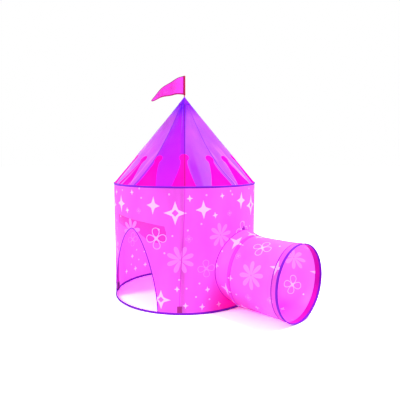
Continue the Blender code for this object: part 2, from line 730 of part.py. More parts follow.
def door_flap():
    """The door flap, rolled up inside above the door and held by two ties."""
    shares = roll_shares()
    last = len(shares) - 1
    bm = bmesh.new()
    bmesh.ops.create_grid(bm, x_segments=last, y_segments=ROLL_ROUND, size=0.5)
    for vertex in bm.verts:
        share = shares[round((vertex.co.x + 0.5) * last)]
        radius, rise = roll_outline(share, 2 * math.pi * (vertex.co.y + 0.5), 0.0)
        azimuth, z = roll_place(share)
        vertex.co = polar(radius, azimuth, z + rise)
    bmesh.ops.remove_doubles(bm, verts=bm.verts, dist=1e-6)
    bmesh.ops.holes_fill(bm, edges=[edge for edge in bm.edges if edge.is_boundary], sides=0)
    bmesh.ops.recalc_face_normals(bm, faces=bm.faces)
    roll = show(mesh_from(bm, "door_flap_roll"), "door_flap_roll", WALL_FABRIC)
    smooth(roll.data, ROLL_SMOOTH_ANGLE)

    for index, middle in enumerate(TIE_PLACES):

        def tie_place(u, v, middle=middle):
            share = middle + (2 * v - 1) * TIE_HALF_SHARE
            radius, rise = roll_outline(share, 2 * math.pi * u, TIE_GAP + TIE_THICKNESS / 2)
            azimuth, z = roll_place(share)
            return polar(radius, azimuth, z + rise)

        name = f"flap_tie_{index + 1}"
        sheet(name, ROLL_ROUND, 1, tie_place, BINDING_TAPE, TIE_THICKNESS, closed=True)


def port_point(turn, outward):
    """A point of the port's rim on the wall, pushed outward along the tunnel."""
    across = TUNNEL_SHIFT + PORT_RADIUS * math.cos(turn)
    along = math.sqrt(TENT_RADIUS**2 - across**2) + outward
    return in_tunnel(along, across, PORT_HEIGHT + PORT_RADIUS * math.sin(turn))


def ring_point(turn, along):
    """A point of the tunnel's cloth between its hoops."""
    across = TUNNEL_SHIFT + TUNNEL_SHEET_R * math.cos(turn)
    return in_tunnel(along, across, TUNNEL_RADIUS + TUNNEL_SHEET_R * math.sin(turn))


def collar_point(turn, along, share):
    """A point of the collar: share 0 has the port's size and height, 1 the rear hoop's."""
    radius = PORT_RADIUS + share * (TUNNEL_SHEET_R - PORT_RADIUS)
    centre = PORT_HEIGHT + share * (TUNNEL_RADIUS - PORT_HEIGHT)
    across = TUNNEL_SHIFT + radius * math.cos(turn)
    return in_tunnel(along, across, centre + radius * math.sin(turn))


def port_and_collar():
    """The port's piping and tab, and the cloth from the wall to the rear hoop."""
    turns = [2 * math.pi * index / TUNNEL_STEPS for index in range(TUNNEL_STEPS)]
    rim = [port_point(turn, 0.0) for turn in turns]
    piping("port_piping", rim, PIPING_R, BINDING_TAPE, cyclic=True)

    def saddle_place(u, v):
        turn = 2 * math.pi * u
        start = port_point(turn, PIPING_R + SEAT_GAP + FABRIC)
        return start.lerp(collar_point(turn, SADDLE_REACH, SADDLE_SHARE), v)

    def collar_place(u, v):
        start = SADDLE_REACH + SEAT_GAP
        end = REAR_HOOP_REACH - CASING_WIDTH / 2 - SEAT_GAP
        share = SADDLE_SHARE + v * (1 - SADDLE_SHARE)
        return collar_point(2 * math.pi * u, start + v * (end - start), share)

    def tab_place(u, v):
        middle = TUNNEL_AZIMUTH + math.degrees(math.asin(TUNNEL_SHIFT / TENT_RADIUS))
        azimuth = middle + math.degrees((u - 0.5) * TAB_WIDTH / TENT_RADIUS)
        low = PORT_HEIGHT + PORT_RADIUS + PIPING_R + SEAT_GAP
        radius = TENT_RADIUS + FABRIC / 2 + SEAT_GAP + TAB_THICKNESS / 2
        return polar(radius, azimuth, low + v * TAB_HEIGHT)

    sheet("tunnel_saddle", TUNNEL_STEPS, 1, saddle_place, WALL_FABRIC, closed=True)
    sheet("tunnel_collar", TUNNEL_STEPS, 2, collar_place, WALL_FABRIC, closed=True)
    sheet("port_tab", 2, 1, tab_place, WEBBING, TAB_THICKNESS)


def rear_hoop():
    """The hoop near the wall in its open casing, and the sleeve that hangs from it."""
    facing = (math.pi / 2, 0, math.radians(TUNNEL_AZIMUTH))
    joint = new_empty("rear_hoop_slide", in_tunnel(REAR_HOOP_REACH, TUNNEL_SHIFT, TUNNEL_RADIUS))
    half = CASING_WIDTH / 2
    inner_half = half - BINDING_WALL
    low = TUNNEL_RADIUS - CASING_DEPTH
    floor = TUNNEL_RADIUS - BINDING_WALL
    upper_side = [(TUNNEL_RADIUS, half), (low, half), (low, inner_half), (floor, inner_half)]
    lower_side = [(radius, -z) for radius, z in reversed(upper_side)]
    casing = (upper_side + lower_side)[::-1]
    turned("rear_hoop_casing", casing, TUNNEL_STEPS, WALL_FABRIC, rotation=facing, parent=joint)
    wire_r = floor - SEAT_GAP - HOOP_WIRE_D / 2
    hoop("rear_hoop", wire_r, TUNNEL_STEPS, (0, 0, 0), facing, joint)

    def sleeve_place(u, v):
        start = REAR_HOOP_REACH + CASING_WIDTH / 2 + SEAT_GAP
        end = TUNNEL_REACH - HEM_WIDTH - SEAT_GAP
        return ring_point(2 * math.pi * u, start + v * (end - start))

    sheet("tunnel_sleeve", TUNNEL_STEPS, 4, sleeve_place, WALL_FABRIC, closed=True, axis=joint)


def tunnel_mouth():
    """The mouth hoop in its binding, with the hem band behind it."""
    facing = (math.pi / 2, 0, math.radians(TUNNEL_AZIMUTH))
    inward = (-math.pi / 2, 0, math.radians(TUNNEL_AZIMUTH))
    joint = new_empty("mouth_slide", in_tunnel(TUNNEL_REACH, TUNNEL_SHIFT, TUNNEL_RADIUS))
    profile = binding_profile(TUNNEL_SHEET_R)
    turned("mouth_binding", profile, TUNNEL_STEPS, BINDING_TAPE, rotation=inward, parent=joint)
    behind = in_tunnel(-HOOP_RISE, 0, 0)
    hoop("mouth_hoop", TUNNEL_SHEET_R, TUNNEL_STEPS, behind, facing, joint)

    def hem_place(u, v):
        start = TUNNEL_REACH - HEM_WIDTH
        end = TUNNEL_REACH - SHEET_INSET
        return ring_point(2 * math.pi * u, start + v * (end - start))

    sheet("mouth_hem", TUNNEL_STEPS, 1, hem_place, WALL_FABRIC, closed=True, axis=joint)


hoops_and_bindings()
wall_panels()
roof_gores()
poles()
apex_hub()
flagpole_and_flag()
door_piping()
door_flap()
port_and_collar()
rear_hoop()
tunnel_mouth()
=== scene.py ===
"""Looks of the castle play tent: printed see-through cloth on its frame, in a white studio.

All lengths are in metres. An azimuth is in degrees, 0 at the front (-Y), positive towards +X.
Round the tunnel an angle is 0 at its top, positive on the side away from the camera.
"""

import json
from math import (asin, atan2, ceil, copysign, cos, degrees, dist, exp, hypot, pi, radians, sin,
                  sqrt)

import bmesh
import bpy
import numpy as np
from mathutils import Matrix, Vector, noise
from mathutils.geometry import delaunay_2d_cdt
from mathutils.kdtree import KDTree

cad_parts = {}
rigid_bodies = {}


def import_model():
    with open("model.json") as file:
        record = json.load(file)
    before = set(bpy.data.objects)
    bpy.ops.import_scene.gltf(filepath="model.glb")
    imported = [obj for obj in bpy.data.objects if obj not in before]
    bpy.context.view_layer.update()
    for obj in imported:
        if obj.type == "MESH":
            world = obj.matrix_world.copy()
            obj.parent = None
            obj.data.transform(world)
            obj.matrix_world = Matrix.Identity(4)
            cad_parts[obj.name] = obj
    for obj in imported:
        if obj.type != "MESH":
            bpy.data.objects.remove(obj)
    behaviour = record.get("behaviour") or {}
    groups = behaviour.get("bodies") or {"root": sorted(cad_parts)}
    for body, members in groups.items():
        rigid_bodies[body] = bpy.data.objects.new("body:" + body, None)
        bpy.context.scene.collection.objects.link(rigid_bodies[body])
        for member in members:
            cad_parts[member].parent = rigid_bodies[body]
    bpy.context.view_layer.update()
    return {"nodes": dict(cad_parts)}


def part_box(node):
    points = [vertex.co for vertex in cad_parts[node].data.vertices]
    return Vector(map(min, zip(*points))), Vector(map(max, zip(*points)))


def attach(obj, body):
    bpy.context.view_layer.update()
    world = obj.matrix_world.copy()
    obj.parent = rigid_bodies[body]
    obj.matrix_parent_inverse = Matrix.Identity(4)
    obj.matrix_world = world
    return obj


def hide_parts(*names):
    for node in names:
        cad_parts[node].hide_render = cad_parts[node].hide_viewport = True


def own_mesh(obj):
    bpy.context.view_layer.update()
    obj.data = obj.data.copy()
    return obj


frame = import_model()

# Camera and studio: the camera's place is counted from the tent's axis on the floor
CAMERA_PLACE = (0.0931, -3.0014, 0.9778)
CAMERA_YAW = 0.325
CAMERA_PITCH = 5.848
CAMERA_LENS = 37.41
SENSOR = 36.0
LAMP_AIM = 0.8
FLOOR_DROP = -0.0006
SKY_LIGHT = 0.62

# Tent, its four poles and its four wall panels by the azimuth at which each starts
SIDES = {"front": 0.0, "right": 90.0, "back": 180.0, "left": 270.0}
PANELS = {"front_right": 0.0, "back_right": 90.0, "back_left": -180.0, "front_left": -90.0}
TENT_RADIUS = 0.500
APEX_HEIGHT = 1.400
ROOF_SAG = 0.022
WALL_EASE = 0.0022
ROOF_EASE = 0.0040
PANEL_INSET = 0.0045
TAPE_HALF = 0.0038
BASE_TAPE_HEIGHT = 0.014
EAVE_TAPE_HEIGHT = 0.012
MOUTH_TAPE_HEIGHT = 0.015
EAVE_TAPE_LIFT = 0.0010
TAPE_LAP = 0.0012
PIPING_R = 0.0030
HOLE_LAP = 0.6 * PIPING_R
SLEEVE_R = 0.0046
SLEEVE_FOOT = 0.013
ROOF_POLE_DEPTH = 0.0057

# Seams: they lean a little from foot to eave, beside their poles, and the roof's seams between
# the poles stand GORE_SWING degrees from the front or the back one and bend as they rise
SEAM_FOOT_LEAN = -2.3
SEAM_EAVE_LEAN = 1.8
GORE_SWING = 40.0
GORE_BEND = 7.0
GORE_TOP_R = 0.012
SEAM_RISES = (0.004, 0.955)
SEAM_HEAD = 0.010
SEAM_ROWS = 64

# The cap over the gores' tips
CAP_RADIUS = 0.042
CAP_RADII = (0.006, 0.008, 0.011, 0.016, 0.022, 0.028, 0.034, 0.039, CAP_RADIUS)
CAP_LIFT = 0.0020
CAP_LIP = 0.0018
CAP_GATHER = 0.0010
CAP_GATHERS = 24
CAP_NECK = 0.005
CAP_NECK_REACH = 0.010

# Door arch and the flap rolled up behind it, as in the solids
DOOR_AZIMUTH = -46.5
DOOR_LEAN = 6.0
DOOR_WIDTH = 0.490
DOOR_HEIGHT = 0.530
DOOR_FOOT = 0.02
DOOR_BELOW = -0.02
DOOR_SLOPE = 1.35
DOOR_ROUND = 0.62
ROLL_AZIMUTHS = (-66.0, -17.0)
ROLL_HEIGHTS = (0.604, 0.540)
ROLL_HALF_HEIGHT = 0.038
ROLL_HALF_DEPTH = 0.013
ROLL_TURNS = 5.0
ROLL_CORE = 0.28
ROLL_TAPER = 0.45
ROLL_SEAT = 0.0018
ROLL_END = 0.004
TIE_PLACES = (0.352, 0.658)
TIE_WIDTH = 0.012
TIE_LIFT = 0.0014
TIE_NECK = 0.30
TIE_PRESS = 0.0017
NECK_REACH = 0.04

# Tunnel, with the webbing tab over its port and the pockets at the poles' feet
SADDLE_OUT = 0.006
SADDLE_SHARE = 0.1
SADDLE_FILL = 0.42
CASING_HALF = 0.0085
CASING_RISE = 0.0036
TUNNEL_EASE = 0.0050
CLOTH_LAP = 0.001
HEM_LIFT = 0.0006
FACING_LIFT = -0.0012
MOUTH_INSET = 0.004
SEAM_LIFT = 0.0002
TAB_WIDTH = 0.030
POCKET_TOP = 0.056
POCKET_BULGE = 0.04
POCKET_SQUARE = (0.35, 0.5)
POCKET_MOUTH = 0.86

# Flag
FLAG_TIP_HEIGHT = 0.003
FLAG_TAPER = 0.64
FLAG_DROOP = 0.105
FLAG_DROOP_POWER = 1.7
FLAG_WAVE = 0.016
FLAG_WAVE_COUNT = 1.9
FLAG_WAVE_POWER = 0.6
FLAG_WAVE_LIFT = 0.10
FLAG_BUCKLE = 0.004
FLAG_HEM = 0.010
FLAG_TOP_HEM = 0.0055
FLAG_OVER_POLE = 0.007
FLAG_GAP = 0.001
FLAG_SLEEVE_THICK = 0.0028
FLAG_COLUMNS = 40

# Fineness of the cloth, what is welded, and the name of its flat coordinates
CLOTH_STEP = 0.012
TUNNEL_STEP = 0.010
CASING_STEP = 0.004
FLAG_STEP = 0.005
TENT_COLUMNS = 288
TUNNEL_COLUMNS = 240
CAP_COLUMNS = 144
ROLL_COLUMNS = 90
ROLL_ROUNDS = 140
POCKET_COLUMNS = 40
WELD_GAP = 0.00002
FLAT = "flat"

# What a print loop is filled with; the last two are painted shadows of things behind the cloth
GROUND, WHITE, PALE, LINE, ROLL_SHADOW, POCKET_SHADOW = range(6)

# Shapes of the motifs
DAISY_PETALS = 8
DOT_R = 0.0060
STAR_REACHES = (1.0, 0.85, 0.70, 0.55, 0.42)
STAR_ARM = (0.31, 0.20)
STAR_WAIST = 0.27
STAR_HOLE = 0.30
STAR_SLIM = 0.72
SMALL_STAR_TALL = 1.15

# Wall print: azimuths, heights, sizes and tilts of the motifs, repeated round the tent
PRINT_REPEAT = 69.5
PRINT_RISE = 0.018
OUTLINED_STARS = ((-5.0, 0.641, 0.073, 0.073), (-15.8, 0.095, 0.064, 0.062))
SOLID_STARS = ((-21.2, 0.684, 0.045, 0.057, -3.0), (15.0, 0.661, 0.050, 0.058, 2.0))
SMALL_STARS = (
    (5.2, 0.730, 0.020, 4.0), (29.4, 0.741, 0.017, 6.0), (23.8, 0.623, 0.019, 8.0),
    (-4.0, 0.166, 0.018, 0.0), (18.0, 0.157, 0.018, 5.0), (2.0, 0.061, 0.019, 0.0),
    (14.0, 0.049, 0.020, -4.0), (27.0, 0.052, 0.018, 5.0),
)
WALL_DOTS = (
    (-31.0, 0.728), (-9.2, 0.755), (17.1, 0.749), (13.4, 0.573), (3.8, 0.535), (-17.0, 0.537),
    (-7.0, 0.500), (-12.9, 0.391), (-2.5, 0.226), (12.0, 0.200), (2.8, 0.171), (9.5, 0.115),
    (19.5, 0.093), (36.8, 0.768),
)
WALL_DAISIES = ((-1.6, 0.352, 0.088, 112.0), (28.2, 0.496, 0.078, 100.0))
WALL_FLOWERS = ((-19.0, 0.480, 0.068), (17.0, 0.292, 0.056), (4.6, 0.482, 0.022),
                (36.0, 0.628, 0.018))

# Painted shadows on the wall's cloth, of the rolled flap and the pole's pocket behind it
ROLL_SHADOW_OUTLINE = (
    (-60.0, 0.603), (-50.0, 0.596), (-36.0, 0.583), (-22.0, 0.569), (-12.8, 0.557), (-11.6, 0.52),
    (-12.0, 0.462), (-18.0, 0.452), (-25.0, 0.462), (-31.0, 0.492), (-36.0, 0.520),
    (-45.0, 0.528), (-52.0, 0.532), (-60.0, 0.545),
)
POCKET_SHADOW_OUTLINE = ((-4.0, 0.012), (-0.5, 0.012), (-0.5, POCKET_TOP), (-4.0, POCKET_TOP))

# Tunnel print: angles from the tunnel's top and distances from the tent's axis
TUNNEL_REPEAT = 144.0
TUNNEL_STARS = ((-32.5, 0.550, 0.060), (-57.5, 0.903, 0.048), (-110.0, 0.553, 0.046),
                (3.0, 0.562, 0.046), (1.0, 0.625, 0.040))
TUNNEL_SMALL_STARS = ((-80.0, 0.479, 0.020), (-87.5, 0.595, 0.020), (16.0, 0.760, 0.019))
TUNNEL_DOTS = ((-57.0, 0.494), (-62.0, 0.450), (-19.6, 0.839), (-112.0, 0.628))
TUNNEL_DAISIES = ((-76.0, 0.746, 0.086, -8.0),)
TUNNEL_FLOWERS = ((-30.0, 0.742, 0.064), (-52.5, 0.614, 0.021), (-111.0, 0.722, 0.022),
                  (-104.5, 0.885, 0.022))

# Crown points printed on the roof's foot, on both sides of the middle of its front and back
CROWN_MIDDLE = 1.1
CROWN_OFFSETS = (-76.0, -52.5, -28.8, 0.0, 28.8, 52.5, 76.0)
CROWN_AZIMUTHS = [CROWN_MIDDLE + (turn + offset) for turn in (0.0, 180.0, 360.0)
                  for offset in CROWN_OFFSETS]
CROWN_BELOW = 0.02
CROWN_FLARE = 1.25
CROWN_FOOT_HALF = 0.081
CROWN_NECK_HALF = 0.021
CROWN_NECK_RISE = 0.235
CROWN_BALL_RISE = 0.287
CROWN_BALL_R = 0.031


def middle(node):
    low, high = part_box(node)
    return (low + high) / 2


def above(z):
    return Vector((0.0, 0.0, z))


AXIS = Vector((middle("base_binding").x, middle("base_binding").y, 0.0))
EAVE_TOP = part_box("eave_binding")[1].z
REAR = middle("rear_hoop") - AXIS
WAY = (middle("mouth_hoop") - middle("rear_hoop")).normalized()
ACROSS = Vector((-WAY.y, WAY.x, 0.0))
TUNNEL_SHIFT = REAR.dot(ACROSS)
TUNNEL_HEIGHT = REAR.z


def reach_of(node):
    """How far a node reaches along the tunnel from the tent's axis: nearest and furthest."""
    reaches = [(vertex.co - AXIS).dot(WAY) for vertex in frame["nodes"][node].data.vertices]
    return min(reaches), max(reaches)


REAR_REACH = REAR.dot(WAY)
MOUTH_REACH = reach_of("mouth_binding")[1]
HEM_REACH = reach_of("mouth_hem")[0]
SADDLE_REACH = TENT_RADIUS + SADDLE_OUT
CASING_START = REAR_REACH - CASING_HALF
CASING_END = REAR_REACH + CASING_HALF
SHEET_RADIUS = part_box("mouth_binding")[1].z - TUNNEL_HEIGHT - TAPE_HALF
TUNNEL_GIRTH = 2 * pi * SHEET_RADIUS
PORT_LOW, PORT_HIGH = (corner.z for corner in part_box("port_piping"))
PORT_HEIGHT = (PORT_LOW + PORT_HIGH) / 2
PORT_RADIUS = (PORT_HIGH - PORT_LOW) / 2 - PIPING_R
PORT_HEADING = atan2(WAY.x, -WAY.y)
ROOF_FOOT_R = TENT_RADIUS - 0.003
ROOF_FOOT_Z = EAVE_TOP + 0.0007
ROOF_HEIGHT = APEX_HEIGHT - ROOF_FOOT_Z
ROOF_SLOPE = atan2(ROOF_HEIGHT, ROOF_FOOT_R)
ROOF_SLANT = ROOF_FOOT_R / cos(ROOF_SLOPE)
GORE_TOP_RISE = 1.0 - GORE_TOP_R / ROOF_FOOT_R
CROWN_TOP = CROWN_BALL_RISE + CROWN_BALL_R / ROOF_SLANT
ROLL_LENGTH = TENT_RADIUS * radians(ROLL_AZIMUTHS[1] - ROLL_AZIMUTHS[0])
FLAGPOLE_R = (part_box("flagpole")[1].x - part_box("flagpole")[0].x) / 2
HEM_BOTTOM = APEX_HEIGHT + 0.017
HEM_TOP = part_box("flag")[1].z + FLAG_OVER_POLE
FLAG_HOIST = HEM_TOP - HEM_BOTTOM
FLAG_LENGTH = AXIS.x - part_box("flag")[0].x - FLAGPOLE_R - FLAG_GAP


def polar(radius, azimuth, z):
    turn = radians(azimuth)
    return AXIS + Vector((radius * sin(turn), -radius * cos(turn), z))


def radial(azimuth):
    turn = radians(azimuth)
    return Vector((sin(turn), -cos(turn), 0.0))


def in_tunnel(along, across, z):
    return AXIS + WAY * along + ACROSS * across + above(z)


def clamp(value, low=0.0, high=1.0):
    return max(low, min(high, value))


def hump(share):
    """0 at both ends of a span and 1 between them, steep at the ends."""
    return sqrt(max(sin(pi * clamp(share)), 0.0))


def ripple(turn, size, rise, shift=0.0):
    """Smooth noise, from -1 to 1, read off along a round of the given size."""
    return noise.noise(Vector((size * sin(turn), size * cos(turn) + shift, rise)))


# Cloth surfaces

def wall_point(azimuth, z, lift=0.0):
    """A point of the wall's cloth, which stands in soft upright folds between its tapes."""
    turn = radians(azimuth)
    folds = 0.8 * ripple(turn, 5.2, 1.6 * z) + 0.35 * ripple(turn, 14, 3.5 * z + 9.0)
    ease = WALL_EASE * hump(z / EAVE_TOP) * (0.5 + folds)
    return polar(TENT_RADIUS + ease + lift, azimuth, z)


def roof_point(azimuth, rise):
    """A point of the roof's cloth: rise 0 at the eave and 1 at the apex, sunk between the poles."""
    turn = radians(azimuth)
    between = (1.0 - cos(len(SIDES) * turn)) / 2
    folds = ripple(turn, 3.0, 7.0 * rise) + ripple(turn, 8.0, 2.0 * rise, 4.0 * rise)
    ease = ROOF_EASE * hump(rise) * (0.35 + 0.65 * between) * folds
    sink = ROOF_SAG * between * sin(pi * clamp(rise)) - ease
    radius = ROOF_FOOT_R * (1.0 - rise) - sink * sin(ROOF_SLOPE)
    return polar(radius, azimuth, ROOF_FOOT_Z + ROOF_HEIGHT * rise - sink * cos(ROOF_SLOPE))


def seam_azimuth(azimuth, z):
    """Where a wall seam runs beside the pole at an azimuth, at a height."""
    share = clamp(z / EAVE_TOP)
    ease = share * share * (3.0 - 2.0 * share)
    return azimuth + SEAM_FOOT_LEAN + (SEAM_EAVE_LEAN - SEAM_FOOT_LEAN) * ease


def gore_edge(number, rise):
    """Azimuth of the seam that starts a gore: by a pole if the number is even, else between."""
    quarter, between = divmod(number, 2)
    swing = GORE_SWING - GORE_BEND * sin(pi / 2 * clamp(rise / 0.5))
    if quarter % 2:
        swing = 90.0 - swing
    return 90.0 * quarter + SEAM_EAVE_LEAN + between * swing


def port_reach(angle):
    """Distance along the tunnel at which the port's rim meets the wall."""
    across = TUNNEL_SHIFT + PORT_RADIUS * sin(radians(angle))
    return sqrt(TENT_RADIUS**2 - across**2)


def tunnel_ring(angle, along, share, lift):
    """A point round the tunnel: share 0 has the port's size and height, 1 the hoops'."""
    turn = radians(angle)
    radius = PORT_RADIUS + share * (SHEET_RADIUS - PORT_RADIUS) + lift
    centre = PORT_HEIGHT + share * (TUNNEL_HEIGHT - PORT_HEIGHT)
    return in_tunnel(along, TUNNEL_SHIFT + radius * sin(turn), centre + radius * cos(turn))


def tunnel_point(angle, along, lift=0.0):
    """A point of the tunnel's cloth, from the port's rim to the mouth."""
    if along < SADDLE_REACH:
        rim = port_reach(angle)
        share = clamp((along - rim) / (SADDLE_REACH - rim))
        start = tunnel_ring(angle, rim, 0.0, lift)
        return start.lerp(tunnel_ring(angle, SADDLE_REACH, SADDLE_SHARE, lift), share)
    if along < REAR_REACH:
        span = (along - SADDLE_REACH) / (REAR_REACH - SADDLE_REACH)
        return tunnel_ring(angle, along, SADDLE_SHARE + span * (1.0 - SADDLE_SHARE), lift)
    turn = radians(angle)
    drawn = noise.noise(Vector((6.0 * sin(turn + 3 * along), 6.0 * cos(turn), 3.0 * along)))
    folds = 0.5 * ripple(turn, 2.4, 5.0 * along) + 0.3 * drawn
    span = (along - REAR_REACH) / (HEM_REACH - REAR_REACH)
    return tunnel_ring(angle, along, 1.0, lift + TUNNEL_EASE * hump(span) * (folds - 0.45))


# Flat loops and lines of points

def loop_of(count, point):
    return [point(2 * pi * index / count) for index in range(count)]


def oval(x, y, across, up, sides):
    return loop_of(sides, lambda turn: (x + across * cos(turn), y + up * sin(turn)))


def around(count):
    return [360.0 * index / count for index in range(count)]


def levels(low, high, step):
    """Values from low to high, about a step apart."""
    count = ceil((high - low) / step)
    return [low + (high - low) * index / count for index in range(count + 1)]


def walk(start, end, step):
    """Points from start up to, but not with, end, about a step apart."""
    start = Vector(start)
    end = Vector(end)
    count = max(1, ceil((end - start).length / step))
    return [tuple(start.lerp(end, index / count)) for index in range(count)]


def ahead_at(points, index, closed=False):
    """The direction in which a line of points runs at one of them."""
    before = index - 1 if closed else max(index - 1, 0)
    after = (index + 1) % len(points) if closed else min(index + 1, len(points) - 1)
    return (points[after] - points[before]).normalized()


def loop_area(loop):
    """The area inside a flat closed loop."""
    ends = np.array([tuple(point) for point in loop], float)
    ahead = np.roll(ends, -1, axis=0)
    return abs(np.sum(ends[:, 0] * ahead[:, 1] - ahead[:, 0] * ends[:, 1])) / 2


def span_of(loop):
    """A loop's points as an array, and the corners of the box round them."""
    ends = np.array(loop, float)
    return ends, ends.min(axis=0), ends.max(axis=0)


def inside(points, loop):
    """Which of many flat points lie inside a closed loop."""
    ends, low, high = span_of(loop)
    near = np.all((points >= low) & (points <= high), axis=1)
    found = np.zeros(len(points), bool)
    x, y = points[near, 0][:, None], points[near, 1][:, None]
    ax, ay = ends[:, 0], ends[:, 1]
    bx, by = np.roll(ax, -1), np.roll(ay, -1)
    crosses = (ay > y) != (by > y)
    rise = np.where(by == ay, 1.0, by - ay)
    reach = ax + (y - ay) / rise * (bx - ax)
    found[near] = (crosses & (x < reach)).sum(axis=1) % 2 == 1
    return found


def filling(outline, taken, step):
    """Points in rows that fill a loop, clear of those taken."""
    tree = KDTree(len(taken))
    for index, point in enumerate(taken):
        tree.insert((*point, 0.0), index)
    tree.balance()
    _, low, high = span_of(outline)
    row = step * sqrt(3) / 2
    places = []
    for number in range(int((high[1] - low[1]) / row) + 1):
        y = low[1] + number * row
        places += [(x, y) for x in np.arange(low[0] + (number % 2) * step / 2, high[0], step)]
    places = np.array(places)
    places = places[inside(places, outline)]
    return [tuple(place) for place in places if tree.find((*place, 0.0))[2] > 0.55 * step]


def near_loops(prints, outline):
    """The print loops that come near a cloth's outline."""
    _, low, high = span_of(outline)
    kept = []
    for loop, kind in prints:
        _, least, most = span_of(loop)
        if np.all(most > low) and np.all(least < high):
            kept.append((loop, kind))
    return kept


# Building pieces

def link(name, data):
    made = bpy.data.objects.new(name, data)
    bpy.context.scene.collection.objects.link(made)
    return made


def build(name, verts, faces, flats, materials, kinds=0):
    """A smooth piece; flats are its points laid out flat, kinds the materials of its faces."""
    data = bpy.data.meshes.new(name)
    data.from_pydata(verts, [], faces)
    for material in materials:
        data.materials.append(material)
    data.polygons.foreach_set("material_index", np.full(len(faces), kinds, np.int32))
    corners = np.zeros(len(data.loops), np.int32)
    data.loops.foreach_get("vertex_index", corners)
    layer = data.uv_layers.new(name=FLAT)
    layer.uv.foreach_set("vector", np.array(flats, np.float32)[corners].ravel())
    data.shade_smooth()
    data.validate()
    return link(name, data)


def weld(made):
    bm = bmesh.new()
    bm.from_mesh(made.data)
    bmesh.ops.remove_doubles(bm, verts=bm.verts, dist=WELD_GAP)
    bm.to_mesh(made.data)
    bm.free()
    made.data.shade_smooth()
    return made


def settle(made, slot, *nodes, body="root"):
    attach(made, body)
    if nodes:
        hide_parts(*nodes)
    return made


def grid_faces(rows, columns, closed=False, ring=False, flip=False):
    """Faces between rows of points. Closed joins the last row to the first, ring the columns."""
    faces = []
    for row in range(rows if closed else rows - 1):
        low = row * columns
        high = (row + 1) % rows * columns
        for column in range(columns if ring else columns - 1):
            after = (column + 1) % columns
            face = (low + column, low + after, high + after, high + column)
            faces.append(face[:1] + face[:0:-1] if flip else face)
    return faces


def cut_cloth(name, outline, place, materials, holes=(), prints=(), step=CLOTH_STEP, flip=False):
    """A cloth cut flat along its outline, with its print inlaid, and placed by place(x, y)."""
    prints = near_loops(prints, outline)
    points = []
    edges = []
    for loop in [outline, *holes, *(loop for loop, kind in prints)]:
        first = len(points)
        points += loop
        edges += [(first + index, first + (index + 1) % len(loop)) for index in range(len(loop))]
    points += filling(outline, points, step)
    flats, _, faces, _, _, _ = delaunay_2d_cdt(
        [Vector(point) for point in points], edges, [], 0, 1e-6, False
    )
    flats = np.array([tuple(point) for point in flats])
    faces = np.array([tuple(face) for face in faces])
    middles = flats[faces].mean(axis=1)
    shown = inside(middles, outline)
    for hole in holes:
        shown &= ~inside(middles, hole)
    kinds = np.zeros(len(faces), int)
    for loop, kind in prints:
        within = inside(middles, loop)
        # Painted shadows darken only the ground cloth, not the print over it
        if kind in (ROLL_SHADOW, POCKET_SHADOW):
            within &= kinds == GROUND
        kinds[within] = kind
    used, faces = np.unique(faces[shown], return_inverse=True)
    faces = faces.reshape(-1, 3)
    if flip:
        faces = faces[:, ::-1]
    flats = flats[used]
    verts = [place(x, y) for x, y in flats]
    return build(name, verts, faces.tolist(), flats, materials, kinds[shown])


def strip(name, line, profile, material, slot, *nodes, body="root", closed=False, ring=False):
    """Sweep a profile of (side, out) offsets along a line: its points and what is out at each.

    A closed line ends where it starts, and a ring profile closes on itself.
    """
    points, outs = line
    girth = [0.0]
    for start, end in zip(profile, profile[1:]):
        girth.append(girth[-1] + dist(start, end))
    verts = []
    flats = []
    length = 0.0
    for index, point in enumerate(points):
        ahead = ahead_at(points, index, closed)
        side = ahead.cross(outs[index]).normalized()
        out = side.cross(ahead)
        if index:
            length += (point - points[index - 1]).length
        for (sideways, outward), rounded in zip(profile, girth):
            verts.append(point + side * sideways + out * outward)
            flats.append((length, rounded))
    faces = grid_faces(len(points), len(profile), closed, ring)
    if ring and not closed:
        every = tuple(range(len(verts)))
        faces += [every[:len(profile)][::-1], every[-len(profile):]]
    return settle(build(name, verts, faces, flats, [material]), slot, *nodes, body=body)


def round_profile(radius, sides=10):
    return oval(0.0, 0.0, radius, radius, sides)


def seam_profile(half, lift):
    """A flat folded strip of cloth sewn down on both sides."""
    rising = [(-half, 0.0), (-half * 0.9, lift * 0.8), (-half * 0.6, lift)]
    return rising + [(0.0, lift * 0.75)] + [(-side, out) for side, out in rising[::-1]]


THIN_SEAM = seam_profile(0.0026, 0.0007)
GORE_SEAM_FOLD = seam_profile(0.0034, 0.0010)
THICK_SEAM = seam_profile(0.0035, 0.0012)
TUNNEL_SEAM = seam_profile(0.0034, 0.0012)


def tape_profile(height, flip=False):
    """A tape folded round a hoop: its nose at side 0, its open edges pressed on the cloth."""
    half = [(height, 0.0005), (height + 0.0004, 0.0012), (height - 0.0012, TAPE_LAP + 0.0004)]
    for index in range(7):
        turn = pi / 2 * index / 6
        half.append((TAPE_HALF * (1 - sin(turn)), TAPE_HALF * cos(turn)))
    profile = half + [(side, -out) for side, out in half[-2::-1]]
    return [(-side, out) for side, out in profile[::-1]] if flip else profile


def sleeve_profile(depth):
    """A strip that runs round a pole behind the cloth and is sewn down on both sides."""
    foot = [(-SLEEVE_FOOT, -0.0006), (-0.0070, -0.0007)]
    turns = [pi * index / 8 for index in range(9)]
    bend = [(-SLEEVE_R * cos(turn), -depth - SLEEVE_R * sin(turn)) for turn in turns]
    return foot + bend + [(-side, out) for side, out in foot[::-1]]


# Materials: the colours of cloth are given as they are seen, 0 to 255

def ink(red, green, blue):
    """A colour as it is seen, turned into a shader's."""
    shares = [value / 255 for value in (red, green, blue)]
    linear = [share / 12.92 if share < 0.04045 else ((share + 0.055) / 1.055) ** 2.4
              for share in shares]
    return (*linear, 1.0)


def scaled(colour, share, extra=0.0):
    return (*(min(1.0, value * share + extra) for value in colour[:3]), 1.0)


